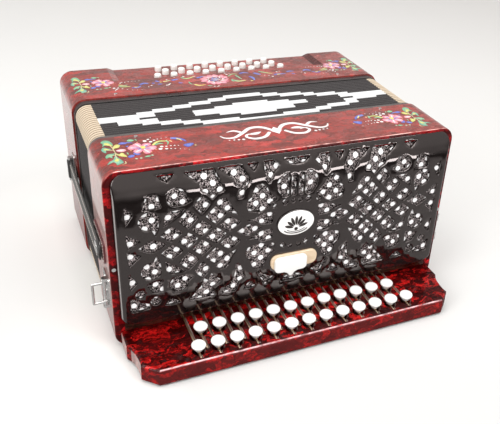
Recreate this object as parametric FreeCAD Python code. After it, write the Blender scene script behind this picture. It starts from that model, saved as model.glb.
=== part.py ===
import FreeCAD, Part
import math
import os

# Two-row diatonic button accordion (garmon) with closed bellows, at rest on one long side.
# +X runs along the casings, +Y from the treble end to the bass end, +Z up from the walls it
# rests on. "Front" is the -Y face of the treble casing, with the grille and the fingerboard.
# Origin: centre of the treble casing's resting wall. All sizes are in mm.

os.makedirs("parts", exist_ok=True)

vec = FreeCAD.Vector
ORIGIN = vec(0, 0, 0)
X_DIR, Y_DIR, Z_DIR = vec(1, 0, 0), vec(0, 1, 0), vec(0, 0, 1)

# ---------------------------------------------------------------- driving sizes
LENGTH = 370.0                       # both casings, X
HALF = LENGTH / 2
HEIGHT = 196.0                       # both casings, Z
EDGE_R = 15.0                        # long edges of both casings
WALL = 10.0
TREBLE_DEPTH = 72.0                  # Y
BELLOWS_DEPTH = 101.0                # closed bellows with its two frames
BASS_DEPTH = 94.0
FRONT_Y = -TREBLE_DEPTH / 2
TREBLE_SEAM = FRONT_Y + TREBLE_DEPTH
BASS_SEAM = TREBLE_SEAM + BELLOWS_DEPTH
END_Y = BASS_SEAM + BASS_DEPTH

GAP = 0.05                           # between pieces that rest on each other
SKIN_GAP = 0.02                      # under fittings on the outside
BOARD_GAP = 0.1                      # round the soundboards and the bass cover
AXLE_R = 1.5
TURN_R = AXLE_R + 0.06               # bore that turns on an axle
POST_R = AXLE_R + 0.02               # bore in a post that holds an axle


# ---------------------------------------------------------------- helpers
def box(x0, x1, y0, y1, z0, z1):
    return Part.makeBox(x1 - x0, y1 - y0, z1 - z0, vec(x0, y0, z0))


def rod(x, y, z, axis, radius, length):
    return Part.makeCylinder(radius, length, vec(x, y, z), axis)


def prism(points, sweep):
    """Closed polygon of 3D points, extruded by the vector sweep."""
    outline = Part.makePolygon([vec(*p) for p in points] + [vec(*points[0])])
    return Part.Face(outline).extrude(sweep)


def prism_x(x0, x1, outline_yz):
    return prism([(x0, y, z) for y, z in outline_yz], vec(x1 - x0, 0, 0))


def prism_y(y0, y1, outline_xz):
    return prism([(x, y0, z) for x, z in outline_xz], vec(0, y1 - y0, 0))


def prism_z(z0, z1, outline_xy):
    return prism([(x, y, z0) for x, y in outline_xy], vec(0, 0, z1 - z0))


def rounded_slab(half_x, z0, z1, radius, y0, y1):
    """Rounded rectangle in XZ, centred on x = 0 and extruded along Y."""
    flat_x = half_x - radius
    low, high = z0 + radius, z1 - radius
    diagonal = math.sqrt(0.5) * radius
    # each row: a straight side's start and end, then the middle of the corner after it
    sides = [
        ((-flat_x, z0), (flat_x, z0), (flat_x + diagonal, low - diagonal)),
        ((half_x, low), (half_x, high), (flat_x + diagonal, high + diagonal)),
        ((flat_x, z1), (-flat_x, z1), (-flat_x - diagonal, high + diagonal)),
        ((-half_x, high), (-half_x, low), (-flat_x - diagonal, low - diagonal)),
    ]
    sides = [[vec(x, y0, z) for x, z in side] for side in sides]
    edges = []
    for i, (start, end, middle) in enumerate(sides):
        edges.append(Part.makeLine(start, end))
        edges.append(Part.Arc(end, middle, sides[(i + 1) % 4][0]).toShape())
    return Part.Face(Part.Wire(edges)).extrude(vec(0, y1 - y0, 0))


def inset_slab(inset, radius, y0, y1):
    """Slab that lies evenly inside the outline of the casings."""
    return rounded_slab(HALF - inset, inset, HEIGHT - inset, radius, y0, y1)


def runs_along(edge, axis):
    return abs(edge.tangentAt(edge.FirstParameter).dot(axis)) > 0.9


def lies_at_y(edge, y):
    return (all(abs(v.Point.y - y) < 1e-4 for v in edge.Vertexes)
            and abs(edge.CenterOfMass.y - y) < 1e-4)


def ends_at_z(edge, z):
    return all(abs(v.Point.z - z) < 1e-4 for v in edge.Vertexes)


def rounded_box(x0, x1, y0, y1, z0, z1, radius, axis):
    """Box with the four edges along axis rounded."""
    block = box(x0, x1, y0, y1, z0, z1)
    return block.makeFillet(radius, [e for e in block.Edges if runs_along(e, axis)])


def try_fillet(shape, pick, radius):
    edges = [e for e in shape.Edges if pick(e)]
    # guards against a fillet the kernel cannot build: the edges then stay sharp
    try:
        return shape.makeFillet(radius, edges)
    except Exception:
        return shape


def mirror(shape):
    return shape.mirror(ORIGIN, X_DIR)


def pair(shape):
    return [shape, mirror(shape)]


def group(shapes):
    return Part.makeCompound([solid for s in shapes for solid in s.Solids])


def boxes_at(xs, half_x, y0, y1, z0, z1):
    return group([box(x - half_x, x + half_x, y0, y1, z0, z1) for x in xs])


def save(name, shape):
    """Write one piece, given as a shape or as a list of shapes."""
    shape = shape if isinstance(shape, Part.Shape) else group(shape)
    solids = shape.Solids
    piece = solids[0] if len(solids) == 1 else Part.makeCompound(solids)
    piece.exportStep("parts/%s.step" % name)


# ---------------------------------------------------------------- parts used at both ends
def casing(y0, y1, eased_y, ease_r):
    """Open ring with rounded long edges, eased round its outer end."""
    ring = try_fillet(inset_slab(0, EDGE_R, y0, y1), lambda e: lies_at_y(e, eased_y), ease_r)
    return ring.cut(inset_slab(WALL, EDGE_R - WALL + 1, y0 - 1, y1 + 1))


def soundboard(y0, y1):
    return inset_slab(WALL + BOARD_GAP, 6.5, y0, y1)


def reed_block(xs, block_x, block_y, z, half_z, cell, slot, plate):
    """Block with a cell and a through slot at each x, and slotted reed plates below and above.
    block_x, block_y: the block's ranges. cell, slot: half width, y range, half height.
    plate: half width, margin in y, half width of its slot."""
    y0, y1 = block_y
    block = box(*block_x, y0, y1, z - half_z, z + half_z)
    for half_x, cut_y0, cut_y1, cut_z in (cell, slot):
        block = block.cut(boxes_at(xs, half_x, cut_y0, cut_y1, z - cut_z, z + cut_z))
    shapes = [block]
    thickness = 1.5
    half_x, margin, slot_x = plate
    for z0 in (z - half_z - GAP - thickness, z + half_z + GAP):
        for x in xs:
            reed = box(x - half_x, x + half_x, y0 + margin, y1 - margin, z0, z0 + thickness)
            shapes.append(reed.cut(box(x - slot_x, x + slot_x, slot[1], slot[2], z0 - 1, z0 + 3)))
    return shapes


FRAME_LIP = 8.0                      # part of each bellows frame outside its casing
FRAME_IN = 12.0                      # part inside its casing


def bellows_frame(seam, outward):
    """outward: +1 or -1, the way along Y from the casing to the bellows."""
    def insert(y0, y1):
        return inset_slab(WALL + 0.15, EDGE_R - WALL + 0.8, y0, y1)

    inside = insert(*sorted((seam, seam - outward * FRAME_IN)))
    lip_y = sorted((seam + outward * GAP, seam + outward * FRAME_LIP))
    lip = inset_slab(1.8, EDGE_R - 1.2, *lip_y)
    neck = insert(seam - 0.5, seam + 0.5)
    frame = inside.fuse(lip).fuse(neck)
    return frame.cut(inset_slab(27, 6, seam - 30, seam + 30)).removeSplitter()


def bellows():
    block = inset_slab(2.6, EDGE_R - 2, TREBLE_SEAM + FRAME_LIP + 0.1, BASS_SEAM - FRAME_LIP - 0.1)
    return block.cut(inset_slab(18, 6, TREBLE_SEAM, BASS_SEAM))


def pin_head(x, y):
    """Head of a bellows pin on top of a casing."""
    return rod(x, y, HEIGHT + SKIN_GAP, Z_DIR, 1.9, 0.7)


save("treble_casing", casing(FRONT_Y, TREBLE_SEAM, FRONT_Y, 2.2))
save("treble_bellows_frame", bellows_frame(TREBLE_SEAM, 1))
save("bass_bellows_frame", bellows_frame(BASS_SEAM, -1))
save("bellows", bellows())

# ================================================================ TREBLE KEYS AND REEDS
DECK_Y = FRONT_Y + 30.0              # front of the treble soundboard
DECK_BACK = DECK_Y + 6.0
KEY_PITCH = 19.5                     # within a row; the inner row is half a pitch across
FIRST_KEY_X = -116.0
KEY_ROWS = {
    # button's and blade end's distance ahead of the front, pallet centre z, pallet half width
    "outer": (53.0, 62.0, 122.0, 8.2),
    "inner": (27.0, 51.0, 72.0, 6.8),
}
# 13 outer and 12 inner keys, in turn along X
KEYS = [("inner" if i % 2 else "outer", FIRST_KEY_X + KEY_PITCH / 2 * i) for i in range(25)]
PIVOT_Y = FRONT_Y + 22.0             # treble key axle
PIVOT_Z = 14.0
AXLE_HALF = 126.0                    # half length of the axle and of the reed blocks
BLADE_TOP = 18.2


def treble_soundboard():
    """Soundboard with one air hole behind each pallet."""
    holes = []
    for row, x in KEYS:
        z = KEY_ROWS[row][2]
        holes.append(box(x - 4, x + 4, DECK_Y - 1, DECK_BACK + 1, z - 9, z + 9))
    return soundboard(DECK_Y, DECK_BACK).cut(group(holes))


def treble_reed_blocks():
    y0, y1 = DECK_BACK + GAP, DECK_BACK + 32
    shapes = []
    for row, sizes in KEY_ROWS.items():
        shapes += reed_block(
            [x for key_row, x in KEYS if key_row == row],
            (-AXLE_HALF, AXLE_HALF), (y0, y1), sizes[2], 13,
            cell=(4.5, y0 - 1, y1 - 4, 9), slot=(2, y0 + 6, y1 - 8, 14), plate=(8.5, 3, 1.6))
    return shapes


BOARD_TOP = 19.4
BOARD_BOTTOM = 2.4
# half outline of the fingerboard: x, distance ahead of the front face
BOARD_HALF = [
    (179.0, 0.05), (178.8, 22.5), (175.6, 27.5), (173.4, 34.0),
    (172.2, 42.0), (171.7, 49.0), (172.2, 54.5), (158.0, 68.5),
]


def fingerboard():
    outline = [(x, FRONT_Y - d) for x, d in BOARD_HALF]
    outline += [(-x, FRONT_Y - d) for x, d in reversed(BOARD_HALF)]
    board = prism_z(BOARD_BOTTOM, BOARD_TOP, outline)
    board = try_fillet(
        board, lambda e: ends_at_z(e, BOARD_TOP) and e.CenterOfMass.y < FRONT_Y - 1, 3.0)
    # a slot for each blade and a well under each button
    cuts = []
    for row, x in KEYS:
        button, blade_end = KEY_ROWS[row][:2]
        cuts.append(box(x - 1.6, x + 1.6, FRONT_Y - blade_end - 2, FRONT_Y + 1, 7, BOARD_TOP + 1))
        cuts.append(rod(x, FRONT_Y - button - 0.4, 11.0, Z_DIR, 6.7, 10))
    return board.cut(group(cuts))


# turned treble button: radius, z
BUTTON_PROFILE = [
    (0, 20.3), (3.6, 20.3), (5.2, 22.4), (6.3, 24.3), (7.1, 25.6),
    (7.1, 26.8), (6.5, 28.2), (4.6, 29.1), (0, 29.4),
]


def treble_key(row, x):
    """Lever on the axle, pallet on the soundboard, and button above the blade."""
    button, blade_end, pallet_z, pallet_x = KEY_ROWS[row]
    button_y = FRONT_Y - button
    upright_y = DECK_Y - 6.0         # back of the upright
    blade = box(x - 1.0, x + 1.0, FRONT_Y - blade_end, PIVOT_Y, 14.2, BLADE_TOP)
    boss = rod(x - 2, PIVOT_Y, PIVOT_Z, X_DIR, 3.8, 4.0)
    arm = box(x - 1.2, x + 1.2, PIVOT_Y - 1.6, upright_y, PIVOT_Z, PIVOT_Z + 9)
    upright = box(x - 1.2, x + 1.2, upright_y - 3.5, upright_y, PIVOT_Z + 2, pallet_z + 6)
    lever = blade.fuse(boss).fuse(arm).fuse(upright)
    lever = lever.cut(rod(x - 3, PIVOT_Y, PIVOT_Z, X_DIR, TURN_R, 6))
    pallet = box(x - pallet_x, x + pallet_x, upright_y + GAP, DECK_Y - GAP,
                 pallet_z - 13, pallet_z + 13)
    stem = rod(x, button_y, BLADE_TOP + GAP, Z_DIR, 2.4, 2.0)
    outline = Part.makePolygon([vec(r, 0, z) for r, z in BUTTON_PROFILE + BUTTON_PROFILE[:1]])
    cap = Part.Face(outline).revolve(ORIGIN, Z_DIR, 360)
    cap.translate(vec(x, button_y, 0))
    return [lever.removeSplitter(), pallet, cap.fuse(stem).removeSplitter()]


def treble_key_axle():
    """Axle through all keys, on posts that stand between keys on the casing wall."""
    shapes = [rod(-AXLE_HALF, PIVOT_Y, PIVOT_Z, X_DIR, AXLE_R, 2 * AXLE_HALF)]
    for i in range(0, 26, 5):
        x = FIRST_KEY_X - KEY_PITCH / 4 + KEY_PITCH / 2 * i
        post = box(x - 1.5, x + 1.5, PIVOT_Y - 4, PIVOT_Y + 4, WALL + GAP, PIVOT_Z + 4)
        shapes.append(post.cut(rod(x - 3, PIVOT_Y, PIVOT_Z, X_DIR, POST_R, 6)))
    return shapes


def treble_key_springs():
    """Beside each key: a coil round the axle, and a leg whose tip reaches across the upright."""
    springs = []
    leg_y = DECK_Y - 10.25
    leg_top = PIVOT_Z + 35.0
    for _, key_x in KEYS:
        x = key_x + 2.7
        coil = rod(x - 0.55, PIVOT_Y, PIVOT_Z, X_DIR, 2.7, 1.1)
        leg = box(x - 0.45, x + 0.45, leg_y - 0.4, leg_y + 0.4, PIVOT_Z, leg_top)
        tip = box(x - 4.6, x + 0.45, leg_y - 0.4, leg_y + 0.4, leg_top - 0.8, leg_top)
        bore = rod(x - 2, PIVOT_Y, PIVOT_Z, X_DIR, 1.75, 4)
        springs.append(coil.fuse(leg).fuse(tip).cut(bore).removeSplitter())
    return springs


save("treble_soundboard", treble_soundboard())
save("treble_reed_blocks", treble_reed_blocks())
save("fingerboard", fingerboard())
for i, key in enumerate(KEYS):
    save("treble_key_%02d" % (i + 1), treble_key(*key))
save("treble_key_axle", treble_key_axle())
save("treble_key_springs", treble_key_springs())

# ================================================================ GRILLE
GRILLE_T = 2.0
GRILLE_Y = FRONT_Y - 8.0             # outer face of the panel
GRILLE_IN_Y = GRILLE_Y + GRILLE_T
GRILLE_HALF = 178.5
GRILLE_BOTTOM = 30.0
GRILLE_RIDGE = 175.0                 # above this the panel slopes back to the casing
GRILLE_TOP = 193.0
SLOT_HALF = 12.0                     # slot for the neck of the register slider
SLOT_Z0, SLOT_Z1 = 70.0, 74.0


def diamond(x, z, half_x, half_z):
    """Eight-point diamond with slightly bulging or hollow sides."""
    dx, dz = half_x * 0.42, half_z * 0.62
    return [(x - half_x, z), (x - dx, z + dz), (x, z + half_z), (x + dx, z + dz),
            (x + half_x, z), (x + dx, z - dz), (x, z - half_z), (x - dx, z - dz)]


def disc(x, z, radius, sides=12):
    turns = [2 * math.pi * i / sides for i in range(sides)]
    return [(x + radius * math.cos(a), z + radius * math.sin(a)) for a in turns]


# Pierced ornament of the -X half; the +X half mirrors it.
# The whole pattern is enlarged a little about the point x = 0, z = PATTERN_Z.
PATTERN_GROWTH = 0.0055
PATTERN_Z = 486.5
# centre x, centre z, half width, half height
DIAMONDS = [
    (-97, 156, 7, 8.6), (-110.3, 142.5, 8.6, 9), (-83.3, 142.2, 9, 8.8), (-126.4, 129, 9.4, 7.2),
    (-97, 130, 8.6, 8), (-69, 129.5, 9.6, 7.2), (-144.5, 119, 12, 6.4), (-110.3, 119, 8.6, 7.6),
    (-82.8, 119, 9.2, 8), (-49.5, 119, 11.6, 5.4), (-126.4, 109, 9.4, 7.2), (-97, 108, 8.6, 8),
    (-69, 108.5, 9.6, 7.2), (-110.3, 95.5, 8.6, 9), (-83.3, 95.8, 9, 8.8), (-97, 82, 7, 8.6),
]
# the other openings: discs, and outlines of (x, z) points
OPENINGS = [
    [(-132.5, 139.5), (-131.5, 149), (-127, 153), (-114.5, 153.5), (-123, 147)],
    [(-132.5, 98.5), (-123, 91), (-114.5, 84.5), (-127, 85), (-131.5, 89)],
    disc(-146.6, 146.5, 9.0), disc(-146.6, 91.5, 9.0),
    disc(-120.6, 167.4, 8.4), disc(-120.6, 71, 8.4),
    [(-143.2, 135.8), (-139.0, 138), (-141.6, 131.5)],
    [(-143.2, 102.2), (-141.6, 106.5), (-139.0, 100)],
    [(-147.5, 172.5), (-138.5, 172.5), (-135.8, 160), (-151, 160)],
    [(-150.5, 76), (-137, 79), (-137, 66), (-146, 67)],
    [(-167.5, 163), (-161, 156.5), (-167, 147)],
    [(-167.5, 135), (-156, 127), (-166, 121.5)],
    [(-167.5, 116.5), (-166, 102), (-156, 111)],
    [(-167.5, 91), (-167, 75), (-161, 81.5)],
    disc(-158.3, 67, 3.8, 8), disc(-144, 56, 4.3, 8),
    [(-167.5, 62.5), (-162, 61.5), (-160, 57), (-151, 53.5), (-150.5, 49), (-167.5, 49)],
    [(-134, 49), (-128.5, 54.5), (-120.5, 49)],
    [(-110.5, 48.5), (-103, 57), (-98, 62), (-95, 70), (-91, 66.5), (-88, 74.5), (-85, 70),
     (-79.5, 66), (-84, 61), (-89, 59.5), (-86, 52), (-85, 48.5)],
    [(-62, 80.5), (-58.5, 78), (-56, 71), (-53.5, 62.5), (-60, 59), (-62, 52), (-64, 48.5),
     (-79, 48.5), (-72, 55), (-65, 62), (-62.8, 70)],
    [(-53, 49), (-47.5, 55.5), (-42, 49)],
    [(-38, 66), (-34, 61), (-28, 57.5), (-22, 56), (-28, 52), (-29.5, 48.7), (-32, 49),
     (-33, 55), (-37.5, 61)],
    [(-46, 160), (-43, 166), (-38, 167.5), (-33, 164), (-30.5, 158), (-26, 153), (-22.2, 149),
     (-28.5, 146.5), (-31, 141), (-37, 138), (-43, 139), (-50, 141), (-52, 147), (-50, 152.5),
     (-46.5, 155)],
    [(-46, 78), (-46.5, 83), (-50, 85.5), (-52, 91), (-50, 97), (-43, 99), (-37, 100), (-31, 97),
     (-28.5, 91.5), (-22.6, 88.5), (-28, 84.5), (-31, 80), (-33, 74), (-38, 70.5), (-43, 72)],
    [(-51, 130), (-44, 129), (-40, 132), (-33, 134.5), (-25, 133.5), (-26, 123), (-33, 123.5),
     (-38, 124.5), (-43, 128)],
    [(-51, 108), (-43, 110), (-38, 113.5), (-33, 114.5), (-26, 115), (-25, 104.5), (-33, 103.5),
     (-40, 106), (-44, 109)],
    [(-83, 155), (-79, 158.5), (-74, 158), (-70, 153), (-67, 146), (-62.5, 139.5), (-71, 144),
     (-78, 150)],
    [(-83, 83), (-78, 88), (-71, 94), (-62.5, 98.5), (-67, 92), (-70, 85), (-74, 80),
     (-79, 79.5)],
    [(-136, 189), (-122, 189), (-128, 183.5)],
    [(-111, 188.5), (-84, 188.5), (-80, 176), (-76, 168), (-82, 166), (-86.5, 161), (-92, 168),
     (-97, 171), (-98, 179), (-105, 184)],
    [(-79, 188.5), (-58, 188.5), (-50.5, 174), (-55, 166), (-57, 157), (-60.5, 157),
     (-60.5, 168), (-66, 179)],
    [(-50, 188.5), (-41, 188.5), (-45, 183)],
    [(-34, 188.5), (-26, 188.5), (-20, 184.5), (-26.5, 178), (-30.5, 169), (-33.5, 177)],
    [(-17, 173), (-10, 175), (-9.4, 151), (-15, 151), (-20, 158), (-21, 167)],
    [(-5.8, 173.5), (-2.4, 173.5), (-2.4, 151), (-5.8, 151)],
    disc(-12.5, 144, 2.2, 8), disc(-4, 144.4, 1.6, 8), disc(-24.4, 142, 1.9, 8),
    disc(-12.5, 93.4, 2.2, 8), disc(-5, 91, 1.5, 8), disc(-24.8, 95.6, 2.1, 8),
]
# openings that cross the middle
MIDDLE_OPENINGS = [
    [(-13, 188.5), (13, 188.5), (7, 184.5), (-7, 184.5)],
    [(-13.5, 48.6), (-7, 53), (7, 53), (13.5, 48.6)],
]


def neck_slot(y0, y1, margin=0):
    return box(-SLOT_HALF - margin, SLOT_HALF + margin, y0, y1, SLOT_Z0 - margin, SLOT_Z1 + margin)


def treble_grille():
    outer = prism_x(-GRILLE_HALF, GRILLE_HALF, [
        (FRONT_Y - GAP, GRILLE_BOTTOM), (GRILLE_Y, GRILLE_BOTTOM),
        (GRILLE_Y, GRILLE_RIDGE), (FRONT_Y - GAP, GRILLE_TOP)])
    outer = outer.common(rounded_slab(
        GRILLE_HALF, GRILLE_BOTTOM, GRILLE_TOP + 4, 12, GRILLE_Y - 1, FRONT_Y))
    outer = try_fillet(outer, lambda e: lies_at_y(e, GRILLE_Y) and runs_along(e, Z_DIR), 2.4)
    hollow_x = GRILLE_HALF - GRILLE_T
    shell = outer.cut(prism_x(-hollow_x, hollow_x, [
        (FRONT_Y + 1, GRILLE_BOTTOM - 2), (GRILLE_IN_Y, GRILLE_BOTTOM - 2),
        (GRILLE_IN_Y, GRILLE_RIDGE - 1), (FRONT_Y + 1, GRILLE_TOP - 1.5)]))

    outlines = []
    for points in [diamond(*row) for row in DIAMONDS] + OPENINGS:
        outlines += [points, [(-x, z) for x, z in reversed(points)]]
    cutters = []
    for points in outlines + MIDDLE_OPENINGS:
        grown = [(x * (1 + PATTERN_GROWTH), z - (PATTERN_Z - z) * PATTERN_GROWTH)
                 for x, z in points]
        cutters.append(prism_y(FRONT_Y - 14, FRONT_Y + 1.5, grown))
    shell = shell.cut(group(cutters))
    # only the panel itself stays, without loose bits of ornament
    panel = max(shell.Solids, key=lambda s: s.Volume)
    return panel.cut(neck_slot(FRONT_Y - 12, FRONT_Y - 3))


def grille_cloth():
    """Cloth behind the grille, bent under the sloping top band."""
    front, back = FRONT_Y - 5.75, FRONT_Y - 5.25
    cloth = prism_x(-173, 173, [
        (front, 40), (back, 40), (back, 173.2),
        (FRONT_Y + 0.9, 187.0), (FRONT_Y + 0.25, 187.3), (front, 173.4)])
    cloth = cloth.common(rounded_slab(173, 20, 185.6, 8.0, FRONT_Y - 8, FRONT_Y + 2))
    return cloth.cut(neck_slot(FRONT_Y - 8, FRONT_Y - 3, 1))


def grille_plates():
    """Oval badge, and escutcheon of the register slider."""
    oval = Part.Face(Part.Wire([Part.Ellipse(ORIGIN, 21.0, 15.4).toShape()]))
    oval.rotate(ORIGIN, X_DIR, 90)
    oval.translate(vec(0, GRILLE_Y - SKIN_GAP, 116.5))
    badge = oval.extrude(vec(0, -1.4, 0))
    escutcheon = rounded_box(-26, 26, GRILLE_Y - 2.5, GRILLE_Y - SKIN_GAP, 62.5, 80.5, 8.0, Y_DIR)
    return [badge, escutcheon.cut(neck_slot(GRILLE_Y - 4, GRILLE_Y + 1))]


def register_slider():
    """Thumb piece with a pointed lower edge, neck through the grille, and shoe behind it."""
    y0, y1 = GRILLE_Y - 5.8, GRILLE_Y - 2.6
    shoe_y = GRILLE_IN_Y + 2.2
    thumb = rounded_box(-22.5, 13.5, y0, y1, 60.5, 78.5, 5.0, Y_DIR)
    point = prism_y(y0, y1, [(-15, 61.5), (6, 61.5), (-4.5, 54.0)])
    neck = box(-9, -1, GRILLE_Y - 3, shoe_y, SLOT_Z0 + 0.4, SLOT_Z1 - 0.4)
    shoe = box(-11, 1, shoe_y, shoe_y + 1.2, 66, 78)
    return thumb.fuse(point).fuse(neck).fuse(shoe)


save("treble_grille", treble_grille())
save("grille_cloth", grille_cloth())
save("grille_plates", grille_plates())
save("register_slider", register_slider())

# ================================================================ STRAPS ON THE CASING ENDS
# Everything here is built at the +X end; the -X end mirrors it.
SKIN_X = HALF + SKIN_GAP             # inner face of the fittings
RING_X = HALF + 4.6                  # pin of the shoulder strap ring
RING_Y = FRONT_Y + 9.0
RING_Z0, RING_Z1 = 47.0, 81.0
STRAP_Z0, STRAP_Z1 = 89.5, 112.5     # bellows strap
STRAP_MID_Z = (STRAP_Z0 + STRAP_Z1) / 2
SNAP_Y = FRONT_Y + 34                # snap that closes the strap
BAR_X = HALF + 4.2                   # bar that holds the strap on the bass casing
BAR_Y = BASS_SEAM + 32.0


def strap_ring():
    """Rectangular wire loop that turns on a pin along Z."""
    wire_r = 1.3
    eye_h = 4.5
    far_x = RING_X + 11.0
    z0, z1 = RING_Z0 + 3.5, RING_Z1 - 3.5
    wire_z0, wire_z1 = z0 + eye_h / 2, z1 - eye_h / 2
    eyes = [rod(RING_X, RING_Y, z, Z_DIR, 2.5, eye_h) for z in (z0, z1 - eye_h)]
    arms = [rod(RING_X + 1.0, RING_Y, z, X_DIR, wire_r, far_x - RING_X - 1.0)
            for z in (wire_z0, wire_z1)]
    loop = eyes[0].fuse(eyes[1]).fuse(arms[0].fuse(arms[1]))
    loop = loop.fuse(rod(far_x, RING_Y, wire_z0, Z_DIR, wire_r, wire_z1 - wire_z0))
    for z in (wire_z0, wire_z1):
        loop = loop.fuse(Part.makeSphere(wire_r, vec(far_x, RING_Y, z)))
    return loop.cut(rod(RING_X, RING_Y, z0 - 2, Z_DIR, TURN_R, z1 - z0 + 4))


def folded_ring():
    """The +X ring rests folded back along the casing."""
    ring = strap_ring()
    ring.rotate(vec(RING_X, RING_Y, 0), Z_DIR, 90)
    return ring


def lug(x, y, z):
    """Ear on the casing end that holds a pin along Z at x, y."""
    return box(SKIN_X, x, y - 2.6, y + 2.6, z, z + 3.0).fuse(rod(x, y, z, Z_DIR, 2.6, 3.0))


def ring_base():
    face_x = SKIN_X + 1.6
    base = rounded_box(
        SKIN_X, face_x, FRONT_Y + 4, FRONT_Y + 30, RING_Z0 + 1, RING_Z1 - 1, 3.0, X_DIR)
    for z in (RING_Z0, RING_Z1 - 3.0):
        base = base.fuse(lug(RING_X, RING_Y, z))
    base = base.fuse(rod(RING_X, RING_Y, RING_Z0, Z_DIR, AXLE_R, RING_Z1 - RING_Z0))
    for z in (RING_Z0 + 8, RING_Z1 - 8):
        base = base.fuse(rod(face_x, FRONT_Y + 23, z, X_DIR, 2.8, 1.0))
    return base


def bellows_strap():
    x0 = HALF + 3.2
    x1 = x0 + 2.4
    width = STRAP_Z1 - STRAP_Z0
    strap = box(x0, x1, FRONT_Y + 20, BAR_Y, STRAP_Z0, STRAP_Z1)
    strap = try_fillet(
        strap, lambda e: runs_along(e, X_DIR) and e.CenterOfMass.y < FRONT_Y + 30, 8.0)
    eye = rod(BAR_X, BAR_Y, STRAP_Z0, Z_DIR, 3.4, width)
    snap = rod(x1, SNAP_Y, STRAP_MID_Z, X_DIR, 6.0, 1.6)
    bore = rod(BAR_X, BAR_Y, STRAP_Z0 - 1, Z_DIR, TURN_R, width + 2)
    return strap.fuse(eye).fuse(snap).cut(bore).removeSplitter()


def strap_tab():
    """Tab under the free end of the bellows strap."""
    tab = box(SKIN_X, SKIN_X + 1.9, FRONT_Y + 14, FRONT_Y + 66, STRAP_Z0 + 1, STRAP_Z1 + 3)
    return try_fillet(tab, lambda e: runs_along(e, X_DIR), 6.0)


def treble_metal_fittings():
    stud_x = HALF + 1.95
    studs = [rod(stud_x, SNAP_Y, STRAP_MID_Z, X_DIR, 5.0, 1.0),
             rod(stud_x, FRONT_Y + 56, STRAP_MID_Z + 2, X_DIR, 3.0, 0.8)]
    metal = pair(ring_base()) + studs + [mirror(s) for s in studs]
    metal += [pin_head(x, TREBLE_SEAM - 5) for x in (-140, 130)]
    # screws beside the two ends of the grille
    metal += [rod(x, FRONT_Y - SKIN_GAP, 95, -Y_DIR, 2.0, 1.6) for x in (-181.0, 181.0)]
    return metal


def strap_anchor():
    anchor = rounded_box(
        SKIN_X, SKIN_X + 0.75, BAR_Y - 6, BAR_Y + 10, STRAP_Z0 - 5, STRAP_Z1 + 5, 2.5, X_DIR)
    for z in (STRAP_Z0 - 3.2, STRAP_Z1 + 0.2):
        # plate, ear and ear barrel are joined one after another
        anchor = anchor.fuse(box(SKIN_X, BAR_X, BAR_Y - 2.6, BAR_Y + 2.6, z, z + 3.0))
        anchor = anchor.fuse(rod(BAR_X, BAR_Y, z, Z_DIR, 2.6, 3.0))
    return anchor.fuse(rod(BAR_X, BAR_Y, STRAP_Z0 - 3, Z_DIR, AXLE_R, STRAP_Z1 - STRAP_Z0 + 6))


def bass_metal_fittings():
    metal = pair(strap_anchor())
    metal += [pin_head(x, BASS_SEAM + 7) for x in (-137, 133)]
    # screws in the corners of the bass cover
    metal += [rod(x, END_Y - 0.98, z, Y_DIR, 3.0, 1.3) for x in (-169, 169) for z in (20, 174)]
    return metal


save("strap_ring_right", folded_ring())
save("strap_ring_left", mirror(strap_ring()))
save("bellows_strap_right", bellows_strap())
save("bellows_strap_left", mirror(bellows_strap()))
save("strap_tabs", pair(strap_tab()))
save("treble_metal_fittings", treble_metal_fittings())
save("bass_metal_fittings", bass_metal_fittings())

# ================================================================ BASS BODY
RECESS_FLOOR = 192.0                 # recess for the bass buttons
RECESS_HALF = 123.5                  # half length at the floor
RECESS_TOP_HALF = 131.5              # half length at the casing's top: the ends slope
RECESS_Y = BASS_SEAM + 46.5          # front edge
BUTTON_PITCH = 19.4
BUTTON_R = 4.1
BUTTON_TOP = 198.2
BASS_DECK_Y = BASS_SEAM + 32.0       # bass soundboard, bellows side
BASS_DECK_BACK = BASS_DECK_Y + 5.0
AIR_X, AIR_Z = -132.0, 150.0         # air button


class BassRow:
    """One row of bass buttons with its bank of levers."""

    def __init__(self, name, y, first_x, count, cap_dy, pivot_y, pivot_z, pallet_z):
        self.name = name
        self.y = BASS_SEAM + y
        self.xs = [first_x + BUTTON_PITCH * i for i in range(count)]
        self.cap_y = self.y + cap_dy  # caps sit slightly off their stems
        self.pivot_y = BASS_SEAM + pivot_y
        self.pivot_z = pivot_z
        self.pallet_z = pallet_z
        self.nose_z = pivot_z + 1.6   # top of the lever noses


# name, y from seam, first x, count, cap offset in y, pivot y from seam, pivot z, pallet z
BASS_ROWS = [
    BassRow("front", 55.0, -79.3, 9, -0.5, 72.5, 165.0, 130.0),
    BassRow("middle", 67.0, -66.8, 8, 1.0, 84.5, 120.0, 85.0),
    BassRow("back", 79.5, -72.5, 8, 1.5, 62.0, 22.0, 46.0),
]


def bass_casing():
    body = casing(BASS_SEAM, END_Y, END_Y, 3.5)
    back = END_Y + 5
    reach = 2.5                      # the cut goes on past the top by this factor
    top_x = RECESS_HALF + (RECESS_TOP_HALF - RECESS_HALF) * reach
    top_z = RECESS_FLOOR + (HEIGHT - RECESS_FLOOR) * reach
    recess = box(-RECESS_HALF, RECESS_HALF, RECESS_Y, back, RECESS_FLOOR - 6.5, RECESS_FLOOR + 0.5)
    recess = recess.fuse(prism_y(RECESS_Y, back, [
        (-RECESS_HALF, RECESS_FLOOR), (RECESS_HALF, RECESS_FLOOR),
        (top_x, top_z), (-top_x, top_z)]))
    return body.cut(recess)


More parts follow.
